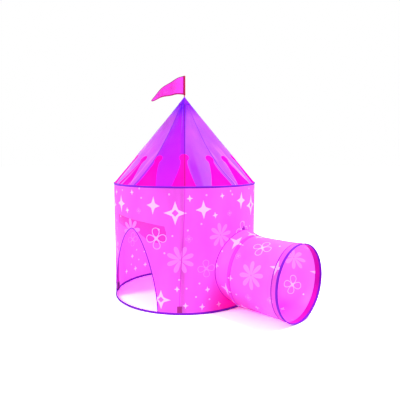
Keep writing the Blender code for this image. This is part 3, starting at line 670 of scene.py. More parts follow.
def node(tree, kind, inputs=None, **settings):
    """A new shader node, with its settings and with values or other nodes' outputs as inputs."""
    made = tree.nodes.new("ShaderNode" + kind)
    for name, value in settings.items():
        setattr(made, name, value)
    for key, value in (inputs or {}).items():
        if isinstance(value, bpy.types.NodeSocket):
            tree.links.new(value, made.inputs[key])
        else:
            made.inputs[key].default_value = value
    return made


def add(tree, kind, inputs=None, output=0, **settings):
    """An output of a new shader node."""
    return node(tree, kind, inputs, **settings).outputs[output]


def new_tree(name):
    material = bpy.data.materials.new(name)
    material.use_nodes = True
    material.node_tree.nodes.clear()
    return material, material.node_tree


def maths(tree, operation, first, second=0.0):
    return add(tree, "Math", {0: first, 1: second}, operation=operation)


def times(tree, first, *others):
    for other in others:
        first = maths(tree, "MULTIPLY", first, other)
    return first


def plus(tree, first, second):
    return maths(tree, "ADD", first, second)


def gap(tree, value, place):
    """How far a value is from a place, on either side."""
    return maths(tree, "ABSOLUTE", maths(tree, "SUBTRACT", value, place))


def mixed(tree, factor, first, second, blend="MIX"):
    return add(tree, "Mix", {0: factor, 6: first, 7: second}, 2, data_type="RGBA",
               blend_type=blend)


def ramp(tree, value, start, end, kind="LINEAR"):
    """0 where a value is at start, 1 where it is at end."""
    return add(tree, "MapRange", {0: value, 1: start, 2: end}, interpolation_type=kind)


def by_height(tree, place, start, end):
    return ramp(tree, add(tree, "SeparateXYZ", {0: place}, 2), start, end)


def stretched(tree, place, *scale):
    return add(tree, "Mapping", {0: place, 3: scale})


def patches(tree, place, scale, detail, **inputs):
    return add(tree, "TexNoise", {"Vector": place, "Scale": scale, "Detail": detail, **inputs})


def bumped(tree, height, strength, distance):
    return add(tree, "Bump", {"Height": height, "Strength": strength, "Distance": distance})


def threads(tree, flat, way, pitch):
    """Bands of thread along one direction of the cloth."""
    return add(tree, "TexWave", {"Vector": flat, "Scale": 0.314 / pitch}, "Fac",
               wave_type="BANDS", bands_direction=way)


def stitch_mask(tree, flat, rows, pitch=0.0034, half=0.0005):
    """1 on the stitches of straight seams that run along the cloth's first coordinate."""
    along = node(tree, "SeparateXYZ", {0: flat}).outputs
    place = maths(tree, "FRACT", maths(tree, "DIVIDE", along[0], pitch))
    dash = maths(tree, "LESS_THAN", place, 0.68)
    lines = [maths(tree, "LESS_THAN", gap(tree, along[1], row), half) for row in rows]
    found = lines[0]
    for line in lines[1:]:
        found = maths(tree, "MAXIMUM", found, line)
    return times(tree, dash, found)


# A roof gore's painted highlights are pale streaks on the crests of its folds, and its painted
# fold shade is the dark hollow beside the crown point at its first seam; painted shade lies on the
# wall beside the tunnel's foot
PAINTED_HIGHLIGHT = ink(255, 170, 255)
PAINTED_FOLD_SHADE = ink(160, 16, 240)
FOLD_SHADE_PLACE = -0.084
FOLD_SHADE_HALF = 0.040
FOLD_SHADE_TOP = 0.36
PAINTED_TUNNEL_SHADE = ink(255, 0, 168)
TUNNEL_SHADE_PLACE = polar(TENT_RADIUS, 36.0, 0.05)
TUNNEL_SHADE_REACH = 0.26
APEX_FADE = (APEX_HEIGHT - 0.15, APEX_HEIGHT - 0.08)
FOOT_FADE = (EAVE_TOP + 0.32, EAVE_TOP + 0.05)
HIGHLIGHT_FADE = (EAVE_TOP + 0.30, EAVE_TOP + 0.06)
CLOTH_LOOK = dict(
    through=0.42, roughness=0.44, sheen=0.05, gleam=0.16, pitch=0.0006, crease=0.35, mottle=0.30,
    cloud=8.0, streak=0.0, blush=0.0, fold=0.0, apex=None, foot=None, rows=(),
)


def shaded(tree, flat, place, tint, look):
    """Tint towards the roof's tip or foot; paint fold shade, highlights and shade by the tunnel."""
    if look["apex"]:
        tint = mixed(tree, by_height(tree, place, *APEX_FADE), tint, ink(*look["apex"]))
    if look["foot"]:
        tint = mixed(tree, by_height(tree, place, *FOOT_FADE), tint, ink(*look["foot"]))
    # Painted shade in the hollow of a fold beside a crown point
    if look["fold"]:
        sides = node(tree, "SeparateXYZ", {0: flat}).outputs
        away = gap(tree, sides[0], FOLD_SHADE_PLACE)
        near = ramp(tree, away, FOLD_SHADE_HALF, 0.3 * FOLD_SHADE_HALF, "SMOOTHSTEP")
        low = ramp(tree, sides[1], FOLD_SHADE_TOP, 0.4 * FOLD_SHADE_TOP)
        tint = mixed(tree, times(tree, near, low, look["fold"]), tint, PAINTED_FOLD_SHADE)
    # Painted highlights: pale streaks on the crests of folds, low on the gore
    if look["streak"]:
        ridges = patches(tree, stretched(tree, flat, 22.0, 2.4, 1.0), 1.0, 1.0, Distortion=0.2)
        lit = ramp(tree, ridges, 0.50, 0.74)
        low = by_height(tree, place, *HIGHLIGHT_FADE)
        tint = mixed(tree, times(tree, lit, low, look["streak"]), tint, PAINTED_HIGHLIGHT)
    # Painted shade of the tunnel on the wall, strongest at a point beside its foot
    if look["blush"]:
        away = add(tree, "VectorMath", {0: place, 1: TUNNEL_SHADE_PLACE}, 1, operation="DISTANCE")
        near = ramp(tree, away, TUNNEL_SHADE_REACH, 0.0, "SMOOTHSTEP")
        tint = mixed(tree, times(tree, near, look["blush"]), tint, PAINTED_TUNNEL_SHADE)
    return tint


def cloth(name, colour, **changes):
    """Thin woven polyester: it gleams softly, shows its threads and lets light through."""
    look = {**CLOTH_LOOK, **changes}
    material, tree = new_tree(name)
    flat = add(tree, "UVMap", uv_map=FLAT)
    place = add(tree, "TexCoord", output="Object")
    weave = times(tree, *(threads(tree, flat, way, look["pitch"]) for way in "XY"))
    clouds = patches(tree, stretched(tree, place, 1.0, 1.0, 0.30), look["cloud"], 3.0)
    creases = patches(tree, stretched(tree, place, 34.0, 34.0, 7.0), 1.0, 4.0, Roughness=0.55)
    deep = scaled(ink(*colour), 1.0 - look["mottle"])
    light = scaled(ink(*colour), 1.0 + look["mottle"], 0.012)
    tint = shaded(tree, flat, place, mixed(tree, clouds, deep, light), look)
    tint = mixed(tree, times(tree, weave, 0.10), tint, (1.0, 1.0, 1.0, 1.0), "SOFT_LIGHT")
    relief = plus(tree, times(tree, weave, 0.12), times(tree, creases, look["crease"]))
    if look["rows"]:
        stitches = times(tree, stitch_mask(tree, flat, look["rows"]), 0.5)
        tint = mixed(tree, stitches, tint, light)
        relief = plus(tree, relief, stitches)
    bump = bumped(tree, relief, 0.5, 0.004)
    rough = plus(tree, times(tree, clouds, 0.16), look["roughness"] - 0.08)
    body = add(tree, "BsdfPrincipled", {
        "Base Color": tint, "Roughness": rough, "Normal": bump, "Specular IOR Level": look["gleam"],
        "Sheen Weight": look["sheen"], "Sheen Roughness": 0.35, "Sheen Tint": (1.0, 0.75, 1.0, 1.0),
    })
    glow = add(tree, "BsdfTranslucent", {"Color": tint, "Normal": bump})
    both = add(tree, "MixShader", {0: look["through"], 1: body, 2: glow})
    node(tree, "OutputMaterial", {0: both})
    return material


def solid(name, colour, roughness, worn=None, grain=60.0, detail=4.0, relief=0.15, metal=0.0):
    """Moulded, pulled or drawn stuff with faint marks of its making."""
    material, tree = new_tree(name)
    marks = patches(tree, add(tree, "TexCoord", output="Object"), grain, detail)
    rough = plus(tree, times(tree, marks, 0.2), roughness - 0.1)
    body = add(tree, "BsdfPrincipled", {
        "Base Color": mixed(tree, marks, worn or scaled(colour, 0.88), colour),
        "Roughness": rough, "Normal": bumped(tree, marks, relief, 0.0004), "Metallic": metal,
    })
    node(tree, "OutputMaterial", {0: body})
    return material


DULL = dict(sheen=0.0, gleam=0.05)
PRINTED = dict(through=0.36, mottle=0.05)
LIT_ROOF_LOOK = dict(apex=(140, 10, 236), roughness=0.34, sheen=0.2)
CROWN = dict(roughness=0.5, sheen=0.0, gleam=0.0, mottle=0.1, through=0.30)
CORD = dict(through=0.06, pitch=0.0008, sheen=0.1)

# The wall's cloth and its print carry painted shade beside the tunnel's foot
WALL_CLOTH = cloth("wall_cloth", (255, 98, 240), blush=0.9)
WALL_WHITE = cloth("wall_print_white", (255, 214, 255), blush=0.6, **PRINTED)
WALL_PALE = cloth("wall_print_pale", (255, 138, 255), through=0.40, mottle=0.10, blush=0.8)
WALL_LINE = cloth("wall_print_line", (255, 186, 255), through=0.38, mottle=0.05, blush=0.6)
# Painted shadows where the rolled flap and a pole's pocket behind the cloth keep light out
WALL_ROLL_SHADOW = cloth("wall_painted_roll_shadow", (250, 50, 204), through=0.25)
WALL_POCKET_SHADOW = cloth("wall_painted_pocket_shadow", (160, 20, 130), through=0.10)
WALL_INKS = [WALL_CLOTH, WALL_WHITE, WALL_PALE, WALL_LINE, WALL_ROLL_SHADOW, WALL_POCKET_SHADOW]
TUNNEL_WHITE = cloth("tunnel_print_white", (255, 186, 255), **PRINTED)
CASING_CLOTH = cloth("casing_cloth", (246, 66, 226), through=0.30)
HEM_CLOTH = cloth("hem_cloth", (255, 82, 240), through=0.25)
TUNNEL_INKS, CASING_INKS, HEM_INKS = (
    [ground, TUNNEL_WHITE, WALL_PALE, WALL_LINE] for ground in (WALL_CLOTH, CASING_CLOTH, HEM_CLOTH)
)
HEM_FACING = cloth("hem_facing", (214, 0, 184), through=0.20, sheen=0.1)
SEAM_CLOTH = cloth("seam_cloth", (238, 62, 226), rows=(0.0012, 0.0041), through=0.25)
CASING_SEAM = cloth("casing_seam", (214, 34, 214), through=0.10, sheen=0.1)
HEM_SEAM = cloth("hem_seam", (150, 0, 190), through=0.05, sheen=0.1)
ROLL_CLOTH = cloth("roll_cloth", (255, 60, 235), through=0.18, crease=0.6)
# Copies of one roof cloth with light painted in: shaded, lit, lit with painted fold shade or
# highlights
ROOF_PAINTED_SHADE = cloth("roof_cloth_painted_shade", (166, 14, 240), apex=(96, 0, 236), foot=(188, 26, 240),
                  roughness=0.36, sheen=0.1, gleam=0.12)
ROOF_PAINTED_LIT = cloth("roof_cloth_painted_lit", (172, 72, 240), **LIT_ROOF_LOOK)
ROOF_FOLD_SHADED = cloth("roof_cloth_folded", (172, 68, 240), fold=0.85, **LIT_ROOF_LOOK)
ROOF_HIGHLIGHTED = cloth("roof_cloth_highlighted", (172, 72, 240), streak=0.8, **LIT_ROOF_LOOK)
ROOF_WARM_HIGHLIGHTED = cloth("roof_cloth_warm_highlighted", (192, 78, 218), streak=0.8, **LIT_ROOF_LOOK)
# Each gore gets the painted copy that matches how light falls on it
GORE_CLOTHS = (ROOF_FOLD_SHADED, ROOF_HIGHLIGHTED, ROOF_HIGHLIGHTED, ROOF_PAINTED_SHADE,
               ROOF_FOLD_SHADED, ROOF_WARM_HIGHLIGHTED, ROOF_WARM_HIGHLIGHTED, ROOF_PAINTED_SHADE)
CROWN_INK = cloth("crown_print", (250, 0, 178), **CROWN)
# The crown print with painted highlight streaks, for the warm gores
CROWN_HIGHLIGHTED = cloth("crown_print_highlighted", (250, 0, 186), streak=0.45, **CROWN)
# Shaded and lit copies of the cap cloth, painted to match the gores under them
CAP_PAINTED_SHADE = cloth("cap_cloth", (98, 0, 220), through=0.2, sheen=0.0, gleam=0.08)
CAP_PAINTED_LIT = cloth("cap_cloth_painted_lit", (134, 10, 232), through=0.2, sheen=0.0, gleam=0.08)
POLE_SEAM = cloth("pole_seam", (112, 0, 172), rows=(0.0014, 0.0056), through=0.1, sheen=0.0,
                  gleam=0.04)
CROWN_SEAM = cloth("crown_seam", (170, 0, 128), through=0.1, sheen=0.0, gleam=0.0)
GORE_SEAM = cloth("gore_seam", (132, 16, 206), through=0.15, sheen=0.1)
TAPE = cloth("binding_tape", (124, 0, 202), rows=(0.0030, 0.0210), through=0.06, pitch=0.0009,
             roughness=0.62)
PIPING = cloth("piping_cloth", (140, 6, 206), **CORD)
PORT_PIPING = cloth("port_piping_cloth", (190, 10, 200), **CORD)
FLAG_CLOTH = cloth("flag_cloth", (250, 46, 196), roughness=0.40, mottle=0.55, cloud=10.0,
                   through=0.30)
FLAG_EDGE = cloth("flag_hem", (156, 0, 98), through=0.05, **DULL)
FLAG_TOP_EDGE = cloth("flag_top_edge", (132, 14, 110), through=0.1, **DULL)
FLAG_SLEEVE = cloth("flag_sleeve", (158, 0, 60), through=0.05, **DULL)
WEBBING = cloth("webbing", (150, 84, 160), through=0.25, pitch=0.0016, roughness=0.75, crease=0.1)
TAB_WEBBING = cloth("tab_webbing", (150, 10, 176), through=0.1, pitch=0.0016, roughness=0.7,
                    crease=0.1, sheen=0.1)
HUB_PLASTIC = solid("hub_plastic", (0.80, 0.80, 0.82, 1.0), 0.38)
FIBREGLASS = solid("fibreglass", (0.74, 0.74, 0.71, 1.0), 0.42, grain=240.0)
POLE_PLASTIC = solid("flagpole_plastic", ink(166, 0, 62), 0.40)
SPRING_STEEL = solid("spring_steel", (0.62, 0.62, 0.63, 1.0), 0.3, (0.42, 0.42, 0.44, 1.0),
                     grain=300.0, detail=3.0, relief=0.0, metal=1.0)


# Print motifs: each returns loops with what they are filled with

def turned_spot(x, y, along, aside, heading):
    """A spot found from (x, y) by going along a heading and then aside to its left."""
    return (x + along * cos(heading) - aside * sin(heading),
            y + along * sin(heading) + aside * cos(heading))


def star(x, y, wide, high, tilt=0.0, slim=1.0, hole=0.0):
    """A star with four nearly straight-sided arms, with or without a small diamond left open."""
    straight, flared = STAR_ARM
    arm = [(reach, slim * (straight * (1.0 - reach) + flared * (1.0 - reach) ** 4))
           for reach in STAR_REACHES]
    waist = slim * STAR_WAIST
    quarter = arm + [(waist, waist)] + [(half, reach) for reach, half in arm[:0:-1]]
    mirrored = [(across, up) for up, across in quarter]
    loop = []
    for side, top in ((1, 1), (-1, 1), (-1, -1), (1, -1)):
        for across, up in quarter if side == top else mirrored:
            loop.append(turned_spot(x, y, side * across * wide, top * up * high, radians(tilt)))
    if not hole:
        return [(loop, WHITE)]
    return [(loop, WHITE), (oval(x, y, hole * wide, hole * high, 4), GROUND)]


def dot(x, y, radius=DOT_R, kind=LINE):
    return [(oval(x, y, radius, radius, 12), kind)]


def petal_loop(x, y, heading, near, far, half, swell):
    """A petal that points to heading, from near to far, wider at its outer end."""
    def point(turn):
        along = (near + far) / 2 + (far - near) / 2 * cos(turn)
        return turned_spot(x, y, along, half * sin(turn) * (1.0 + swell * cos(turn)), heading)

    return loop_of(22, point)


def daisy(x, y, radius, first):
    loops = []
    for index in range(DAISY_PETALS):
        heading = radians(first + 360.0 * index / DAISY_PETALS)
        loops.append((petal_loop(x, y, heading, 0.04 * radius, radius, 0.15 * radius, 0.50), PALE))
    return loops


def outlined_flower(x, y, radius):
    line = 0.0040 if radius > 0.03 else 0.0026
    kind = LINE if radius > 0.06 else PALE
    near = 0.06 * radius
    half = 0.36 * radius
    whole = (near, radius, half, kind)
    opening = (near + 1.6 * line, radius - line, half - line, GROUND)
    loops = []
    for start, end, wide, fill in (whole, opening):
        for turn in (4, 94, 184, 274):
            loops.append((petal_loop(x, y, radians(turn), start, end, wide, 0.30), fill))
    return loops + dot(x, y, 0.11 * radius, kind)


def laid_out(radius, daisies, flowers, stars, dots, turns, repeat, rise=0.0):
    """Motifs set out round a radius by their angles, and repeated, each time a rise higher."""
    rows = ((daisy, daisies), (outlined_flower, flowers), (star, stars), (dot, dots))
    motifs = []
    for motif, places in rows:
        for angle, y, *shape in places:
            motifs += motif(radius * radians(angle), y, *shape)
    copies = []
    for turn in turns:
        shift = turn * (radius * radians(repeat))
        for loop, kind in motifs:
            copies.append(([(x + shift, y + abs(turn) * rise) for x, y in loop], kind))
    return copies


def wall_print():
    stars = [(*place, 0.0, 1.0, STAR_HOLE) for place in OUTLINED_STARS] + [*SOLID_STARS]
    for azimuth, z, size, tilt in SMALL_STARS:
        stars.append((azimuth, z, size, size * SMALL_STAR_TALL, tilt))
    return laid_out(TENT_RADIUS, WALL_DAISIES, WALL_FLOWERS, stars, WALL_DOTS, range(-3, 4),
                    PRINT_REPEAT, PRINT_RISE)


def tunnel_print():
    stars = [(angle, along, size, size, 0.0, STAR_SLIM) for angle, along, size in TUNNEL_STARS]
    stars += [(angle, along, size, size) for angle, along, size in TUNNEL_SMALL_STARS]
    return laid_out(SHEET_RADIUS, TUNNEL_DAISIES, TUNNEL_FLOWERS, stars, TUNNEL_DOTS,
                    range(-2, 3), TUNNEL_REPEAT)


def crown_loop(azimuth):
    """One crown point as (azimuth, rise): a foot drawn in to a neck under a ball."""
    side = []
    for index in range(13):
        share = index / 12
        half = CROWN_NECK_HALF + (CROWN_FOOT_HALF - CROWN_NECK_HALF) * (1.0 - share) ** CROWN_FLARE
        side.append((half, -CROWN_BELOW + share * (CROWN_NECK_RISE + CROWN_BELOW)))
    ball_high = CROWN_BALL_R / ROOF_SLANT
    start = asin(CROWN_NECK_HALF / CROWN_BALL_R)
    for index in range(14):
        turn = start + (pi - start) * index / 13
        side.append((CROWN_BALL_R * sin(turn), CROWN_BALL_RISE - ball_high * cos(turn)))
    whole = side + [(-half, rise) for half, rise in side[-2::-1]]
    return [(azimuth + degrees(half / (ROOF_FOOT_R * (1.0 - rise))), rise) for half, rise in whole]


# Walls

def on_wall(azimuth):
    """How far round the flat wall an azimuth lies."""
    return TENT_RADIUS * radians(azimuth)


def wall_line(places):
    """Points of the wall at (azimuth, z) places, and what is out at each."""
    points = [wall_point(azimuth, z) for azimuth, z in places]
    return points, [radial(azimuth) for azimuth, z in places]


def door_arch(outward):
    """The door's edge as (arc, z), foot to foot over the top, moved outward by a distance."""
    shares = [DOOR_FOOT + (1.0 - DOOR_FOOT) * sin(pi / 2 * index / 24) for index in range(25)]

    def edge(share, side):
        half = DOOR_WIDTH / 2 * (1.0 - share**DOOR_SLOPE) ** DOOR_ROUND
        centre = on_wall(DOOR_AZIMUTH + DOOR_LEAN * share)
        return Vector((centre + side * half, share * DOOR_HEIGHT))

    points = [edge(share, -1) for share in shares] + [edge(share, 1) for share in shares[-2::-1]]
    moved = []
    for index, point in enumerate(points):
        ahead = ahead_at(points, index)
        moved.append(point + Vector((-ahead.y, ahead.x)) * outward)
    return moved


def port_loop(radius):
    """A circle along the tunnel about the port, laid out on the flat wall."""
    def point(turn):
        across = TUNNEL_SHIFT + radius * cos(turn)
        azimuth = PORT_HEADING + asin(across / TENT_RADIUS)
        return (TENT_RADIUS * azimuth, PORT_HEIGHT + radius * sin(turn))

    return loop_of(96, point)


def panel_loop(start, low, high):
    """The cut of a wall panel, whose sides follow the seams."""
    def edge(azimuth, z):
        return on_wall(seam_azimuth(azimuth, z)), z

    end = start + 90.0
    rows = ceil((high - low) / CLOTH_STEP)
    rises = [(high - low) * row / rows for row in range(rows)]
    loop = walk(edge(start, low), edge(end, low), CLOTH_STEP)
    loop += [edge(end, low + rise) for rise in rises]
    loop += walk(edge(end, high), edge(start, high), CLOTH_STEP)
    return loop + [edge(start, high - rise) for rise in rises]


def walls():
    """The four wall panels, with the door and the port cut out and the print running on."""
    door = [tuple(point) for point in door_arch(HOLE_LAP)]
    door = [(door[0][0], DOOR_BELOW), *door, (door[-1][0], DOOR_BELOW)]
    holes = {"front_left": [door], "front_right": [port_loop(PORT_RADIUS + HOLE_LAP)]}
    prints = wall_print()
    # Painted shadows of the rolled flap and the front pole's pocket, laid on as print loops
    for loop, kind in ((ROLL_SHADOW_OUTLINE, ROLL_SHADOW), (POCKET_SHADOW_OUTLINE, POCKET_SHADOW)):
        prints.append(([(on_wall(azimuth), z) for azimuth, z in loop], kind))
    quarter = pi / 2 * TENT_RADIUS
    areas = {"front_left": quarter * EAVE_TOP - loop_area(door_arch(0.0)),
             "front_right": quarter * EAVE_TOP - pi * PORT_RADIUS**2}
    for side, start in PANELS.items():
        outline = panel_loop(start, PANEL_INSET, EAVE_TOP - PANEL_INSET)
        panel = cut_cloth(f"wall_cloth_{side}", outline,
                          lambda x, z: wall_point(degrees(x / TENT_RADIUS), z), WALL_INKS,
                          holes.get(side, ()), prints)
        settle(panel, "wall_fabric", f"wall_panel_{side}")
        areas.get(side)


def tapes():
    """The dark tapes folded round the floor hoop and the eave hoop."""
    azimuths = around(TENT_COLUMNS)
    outs = [radial(azimuth) for azimuth in azimuths]
    for place, z, profile in (
        ("base", 0.0, tape_profile(BASE_TAPE_HEIGHT, flip=True)),
        ("eave", EAVE_TOP + EAVE_TAPE_LIFT, tape_profile(EAVE_TAPE_HEIGHT)),
    ):
        line = [polar(TENT_RADIUS, azimuth, z) for azimuth in azimuths], outs
        strip(f"{place}_tape", line, profile, TAPE, "binding_tape", f"{place}_binding",
              closed=True)


def wall_seams():
    """The sewn-down seam above each pocket, outside, and the pole's sleeve, inside."""
    for side, azimuth in SIDES.items():
        heights = np.linspace(POCKET_TOP, EAVE_TOP - SEAM_HEAD, SEAM_ROWS)
        seam = wall_line([(seam_azimuth(azimuth, z), z) for z in heights])
        strip(f"wall_seam_{side}", seam, THIN_SEAM, SEAM_CLOTH, "wall_fabric")
        pole = middle(f"wall_pole_{side}")
        depth = TENT_RADIUS - (Vector((pole.x, pole.y, 0.0)) - AXIS).length
        foot, head = (corner.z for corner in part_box(f"wall_sleeve_{side}"))
        line = wall_line([(azimuth, z) for z in levels(foot, head, CLOTH_STEP)])
        strip(f"wall_pole_sleeve_{side}", line, sleeve_profile(depth), WALL_CLOTH, "wall_fabric",
              f"wall_sleeve_{side}")


def pipings():
    """The cords sewn round the door and the port."""
    for place, edge, material, closed in (("door", door_arch(0.0), PIPING, False),
                                          ("port", port_loop(PORT_RADIUS), PORT_PIPING, True)):
        line = wall_line([(degrees(arc / TENT_RADIUS), z) for arc, z in edge])
        strip(f"{place}_cord", line, round_profile(PIPING_R), material, "binding_tape",
              f"{place}_piping", closed=closed, ring=True)


# Roof

def gore_place(number):
    """How a gore's flat cut lies on the roof: x across and y up from its foot."""
    centre = (gore_edge(number, 0.0) + gore_edge(number + 1, 0.0)) / 2

    def turned(x, y):
        azimuth = centre + degrees(atan2(x, ROOF_SLANT - y) / cos(ROOF_SLOPE))
        return azimuth, 1.0 - hypot(x, ROOF_SLANT - y) / ROOF_SLANT

    def flat(azimuth, rise):
        distance = ROOF_SLANT * (1.0 - rise)
        swing = radians(azimuth - centre) * cos(ROOF_SLOPE)
        return distance * sin(swing), ROOF_SLANT - distance * cos(swing)

    return centre, turned, flat


def gore_loop(number, flat, rows=50):
    """The cut of a gore: along its foot, up one seam, over its tip and down the other seam."""
    def across(share, rise):
        left, right = gore_edge(number, rise), gore_edge(number + 1, rise)
        return flat(left + (right - left) * share, rise)

    loop = [across(step / 32, 0.0) for step in range(32)]
    loop += [across(1.0, GORE_TOP_RISE * step / rows) for step in range(rows)]
    loop += [across(1.0 - step / 3, GORE_TOP_RISE) for step in range(3)]
    return loop + [across(0.0, GORE_TOP_RISE * (1 - step / rows)) for step in range(rows)]


def roof():
    """Eight gores with the crown points printed round their foot."""
    for number, fabric in enumerate(GORE_CLOTHS):
        centre, turned, flat = gore_place(number)
        outline = gore_loop(number, flat)
        prints = [([flat(*spot) for spot in crown_loop(azimuth)], WHITE)
                  for azimuth in CROWN_AZIMUTHS if abs(azimuth - centre) < 45.0]
        inks = [fabric, CROWN_HIGHLIGHTED if fabric is ROOF_WARM_HIGHLIGHTED else CROWN_INK]
        gore = cut_cloth(f"roof_cloth_{number + 1}", outline,
                         lambda x, y: roof_point(*turned(x, y)), inks, prints=prints)
        settle(gore, "roof_fabric", f"roof_gore_{number + 1}")
        foot = ROOF_FOOT_R * radians(gore_edge(number + 1, 0.0) - gore_edge(number, 0.0))
        loop_area(outline)


def roof_strip(name, number, rises, profile, material, *nodes, shift=0.0):
    """A strip up the roof along the seam that starts a gore, or shifted round from it."""
    points = []
    outs = []
    for rise in levels(*rises, CLOTH_STEP / ROOF_SLANT):
        azimuth = gore_edge(number, rise) + shift
        points.append(roof_point(azimuth, rise))
        outs.append(radial(azimuth) * sin(ROOF_SLOPE) + above(cos(ROOF_SLOPE)))
    strip(name, (points, outs), profile, material, "roof_fabric", *nodes)


def roof_seams():
    """Thick seams over the four roof poles, thin ones between, and the poles' sleeves."""
    foot, top = SEAM_RISES
    for quarter, side in enumerate(SIDES):
        number = 2 * quarter
        roof_strip(f"roof_crown_seam_{side}", number, (foot, CROWN_TOP), THICK_SEAM, CROWN_SEAM)
        roof_strip(f"roof_pole_seam_{side}", number, (CROWN_TOP, top), THICK_SEAM, POLE_SEAM)
        low, high = ((corner.z - ROOF_FOOT_Z) / ROOF_HEIGHT
                     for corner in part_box(f"roof_sleeve_{side}"))
        roof_strip(f"roof_pole_sleeve_{side}", number, (low + 0.01, high),
                   sleeve_profile(ROOF_POLE_DEPTH), ROOF_PAINTED_LIT, f"roof_sleeve_{side}",
                   shift=-SEAM_EAVE_LEAN)
    for quarter in range(len(SIDES)):
        roof_strip(f"gore_seam_{quarter + 1}", 2 * quarter + 1, SEAM_RISES, GORE_SEAM_FOLD,
                   GORE_SEAM)


def over_shaded_gore(azimuth):
    """Whether an azimuth at the apex, from 0 to 360, lies over a gore in the painted-shade cloth.
    """
    for number, fabric in enumerate(GORE_CLOTHS):
        start, end = gore_edge(number, 1.0), gore_edge(number + 1, 1.0)
        if fabric is ROOF_PAINTED_SHADE and (start <= azimuth < end or start <= azimuth + 360.0 < end):
            return True
    return False


def cap_point(azimuth, radius):
    gather = CAP_GATHER * sin(radians(azimuth) * CAP_GATHERS) * (radius / CAP_RADIUS)
    z = ROOF_FOOT_Z + ROOF_HEIGHT * (1.0 - radius / ROOF_FOOT_R) + CAP_LIFT + gather
    neck = CAP_NECK * exp(-(radius - FLAGPOLE_R) / CAP_NECK_REACH)
    return polar(radius + gather, azimuth, z + neck)


def apex_cap():
    """The cap sewn over the gores' tips and gathered to the pole, in painted shade over shaded
    gores.
    """
    azimuths = around(CAP_COLUMNS)
    radii = (FLAGPOLE_R + 0.0006, *CAP_RADII)
    verts = [cap_point(azimuth, radius) for radius in radii for azimuth in azimuths]
    for azimuth, edge in zip(azimuths, verts[-CAP_COLUMNS:]):
        verts.append(polar(CAP_RADIUS + 0.0002, azimuth, edge.z - CAP_LIP))
    faces = grid_faces(len(radii) + 1, CAP_COLUMNS, ring=True, flip=True)
    flats = [(vert.x - AXIS.x, vert.y - AXIS.y) for vert in verts]
    kinds = [0 if over_shaded_gore(azimuth) else 1 for azimuth in azimuths] * len(radii)
    cap = build("apex_cap_cloth", verts, faces, flats, [CAP_PAINTED_SHADE, CAP_PAINTED_LIT], kinds)
    settle(cap, "roof_fabric", "apex_cap")


# Door flap

def roll_neck(share):
    """0 along the free roll, rising to 1 under the whole width of a tie."""
    nearest = min(abs(share - place) for place in TIE_PLACES)
    beside = max(nearest - TIE_WIDTH / 2 / ROLL_LENGTH, 0.0)
    return exp(-((beside / NECK_REACH) ** 2))


def roll_point(share, turn, size_share, outward=0.0):
    """A point of the rolled flap: size_share is 1 on its outer turn and less inside."""
    neck = roll_neck(share)
    size = max(sin(pi * share), 0.0) ** ROLL_TAPER * (1.0 - TIE_NECK * neck)
    coarse = noise.noise(Vector((share * 9.0, 1.4 * cos(turn), 1.4 * sin(turn))))
    fine = noise.noise(Vector((share * 26.0, 2.0 * cos(turn), 2.0 * sin(turn) + 5.0)))
    wrinkle = (coarse + 0.6 * fine) * (1.0 - neck)
    wide = ROLL_HALF_DEPTH * size * size_share * (0.90 + 0.18 * wrinkle) + outward
    high = ROLL_HALF_HEIGHT * size * size_share * (0.92 + 0.14 * wrinkle) + outward
    seat = TENT_RADIUS - ROLL_SEAT - TIE_PRESS * neck - ROLL_HALF_DEPTH * size
    azimuth = ROLL_AZIMUTHS[0] + share * (ROLL_AZIMUTHS[1] - ROLL_AZIMUTHS[0])
    z = ROLL_HEIGHTS[0] + share * (ROLL_HEIGHTS[1] - ROLL_HEIGHTS[0])
    return polar(seat + wide * cos(turn), azimuth, z + high * sin(turn))


def ring_of(points):
    """A ring of points, and the directions away from its middle."""
    hub = sum(points, Vector()) / len(points)
    return points, [(point - hub).normalized() for point in points]


def door_flap():
    """The flap rolled up above the door, as a spiral of cloth, and its two ties."""
    verts = []
    flats = []
    for column in range(ROLL_COLUMNS + 1):
        share = ROLL_END + (1.0 - 2 * ROLL_END) * column / ROLL_COLUMNS
        for step in range(ROLL_ROUNDS + 1):
            turn = 2 * pi * ROLL_TURNS * step / ROLL_ROUNDS
            verts.append(roll_point(share, turn, 1.0 - (1.0 - ROLL_CORE) * step / ROLL_ROUNDS))
            flats.append((DOOR_WIDTH * share, DOOR_HEIGHT * step / ROLL_ROUNDS))
    faces = grid_faces(ROLL_COLUMNS + 1, ROLL_ROUNDS + 1, flip=True)
    flap = build("door_flap_cloth", verts, faces, flats, [ROLL_CLOTH])
    settle(flap, "wall_fabric", "door_flap_roll")
    loop_area(door_arch(0.0))
    half = TIE_WIDTH / 2
    profile = [(-half, 0.0), (-half * 0.9, 0.0008), (half * 0.9, 0.0008), (half, 0.0)]
    for number, centre in enumerate(TIE_PLACES, 1):
        line = ring_of(loop_of(40, lambda turn: roll_point(centre, turn, 1.0, TIE_LIFT)))
        strip(f"flap_tie_tape_{number}", line, profile, TAPE, "binding_tape",
              f"flap_tie_{number}", closed=True)


# Tunnel

def tunnel_cloth(name, low, high, inks, *nodes, body="root", lift=None, step=TUNNEL_STEP,
                 length, rest, area=None):
    """A round of the tunnel's cloth between two reaches; low may follow the port's rim."""
    edge = SHEET_RADIUS * pi
    count = ceil(2 * edge / step)
    xs = [-edge + 2 * edge * index / count for index in range(count)]
    lows = [low(degrees(x / SHEET_RADIUS)) if callable(low) else low for x in xs]
    outline = [*zip(xs, lows), *walk((edge, lows[0]), (edge, high), step)]
    outline += [(-x, high) for x in xs] + walk((-edge, high), (-edge, lows[0]), step)

    def place(x, along):
        return tunnel_point(degrees(x / SHEET_RADIUS), along, lift(along) if lift else 0.0)

    prints = tunnel_print() if len(inks) > 1 else ()
    made = weld(cut_cloth(name, outline, place, inks, prints=prints, step=step, flip=True))
    settle(made, "wall_fabric", *nodes, body=body)
    return made


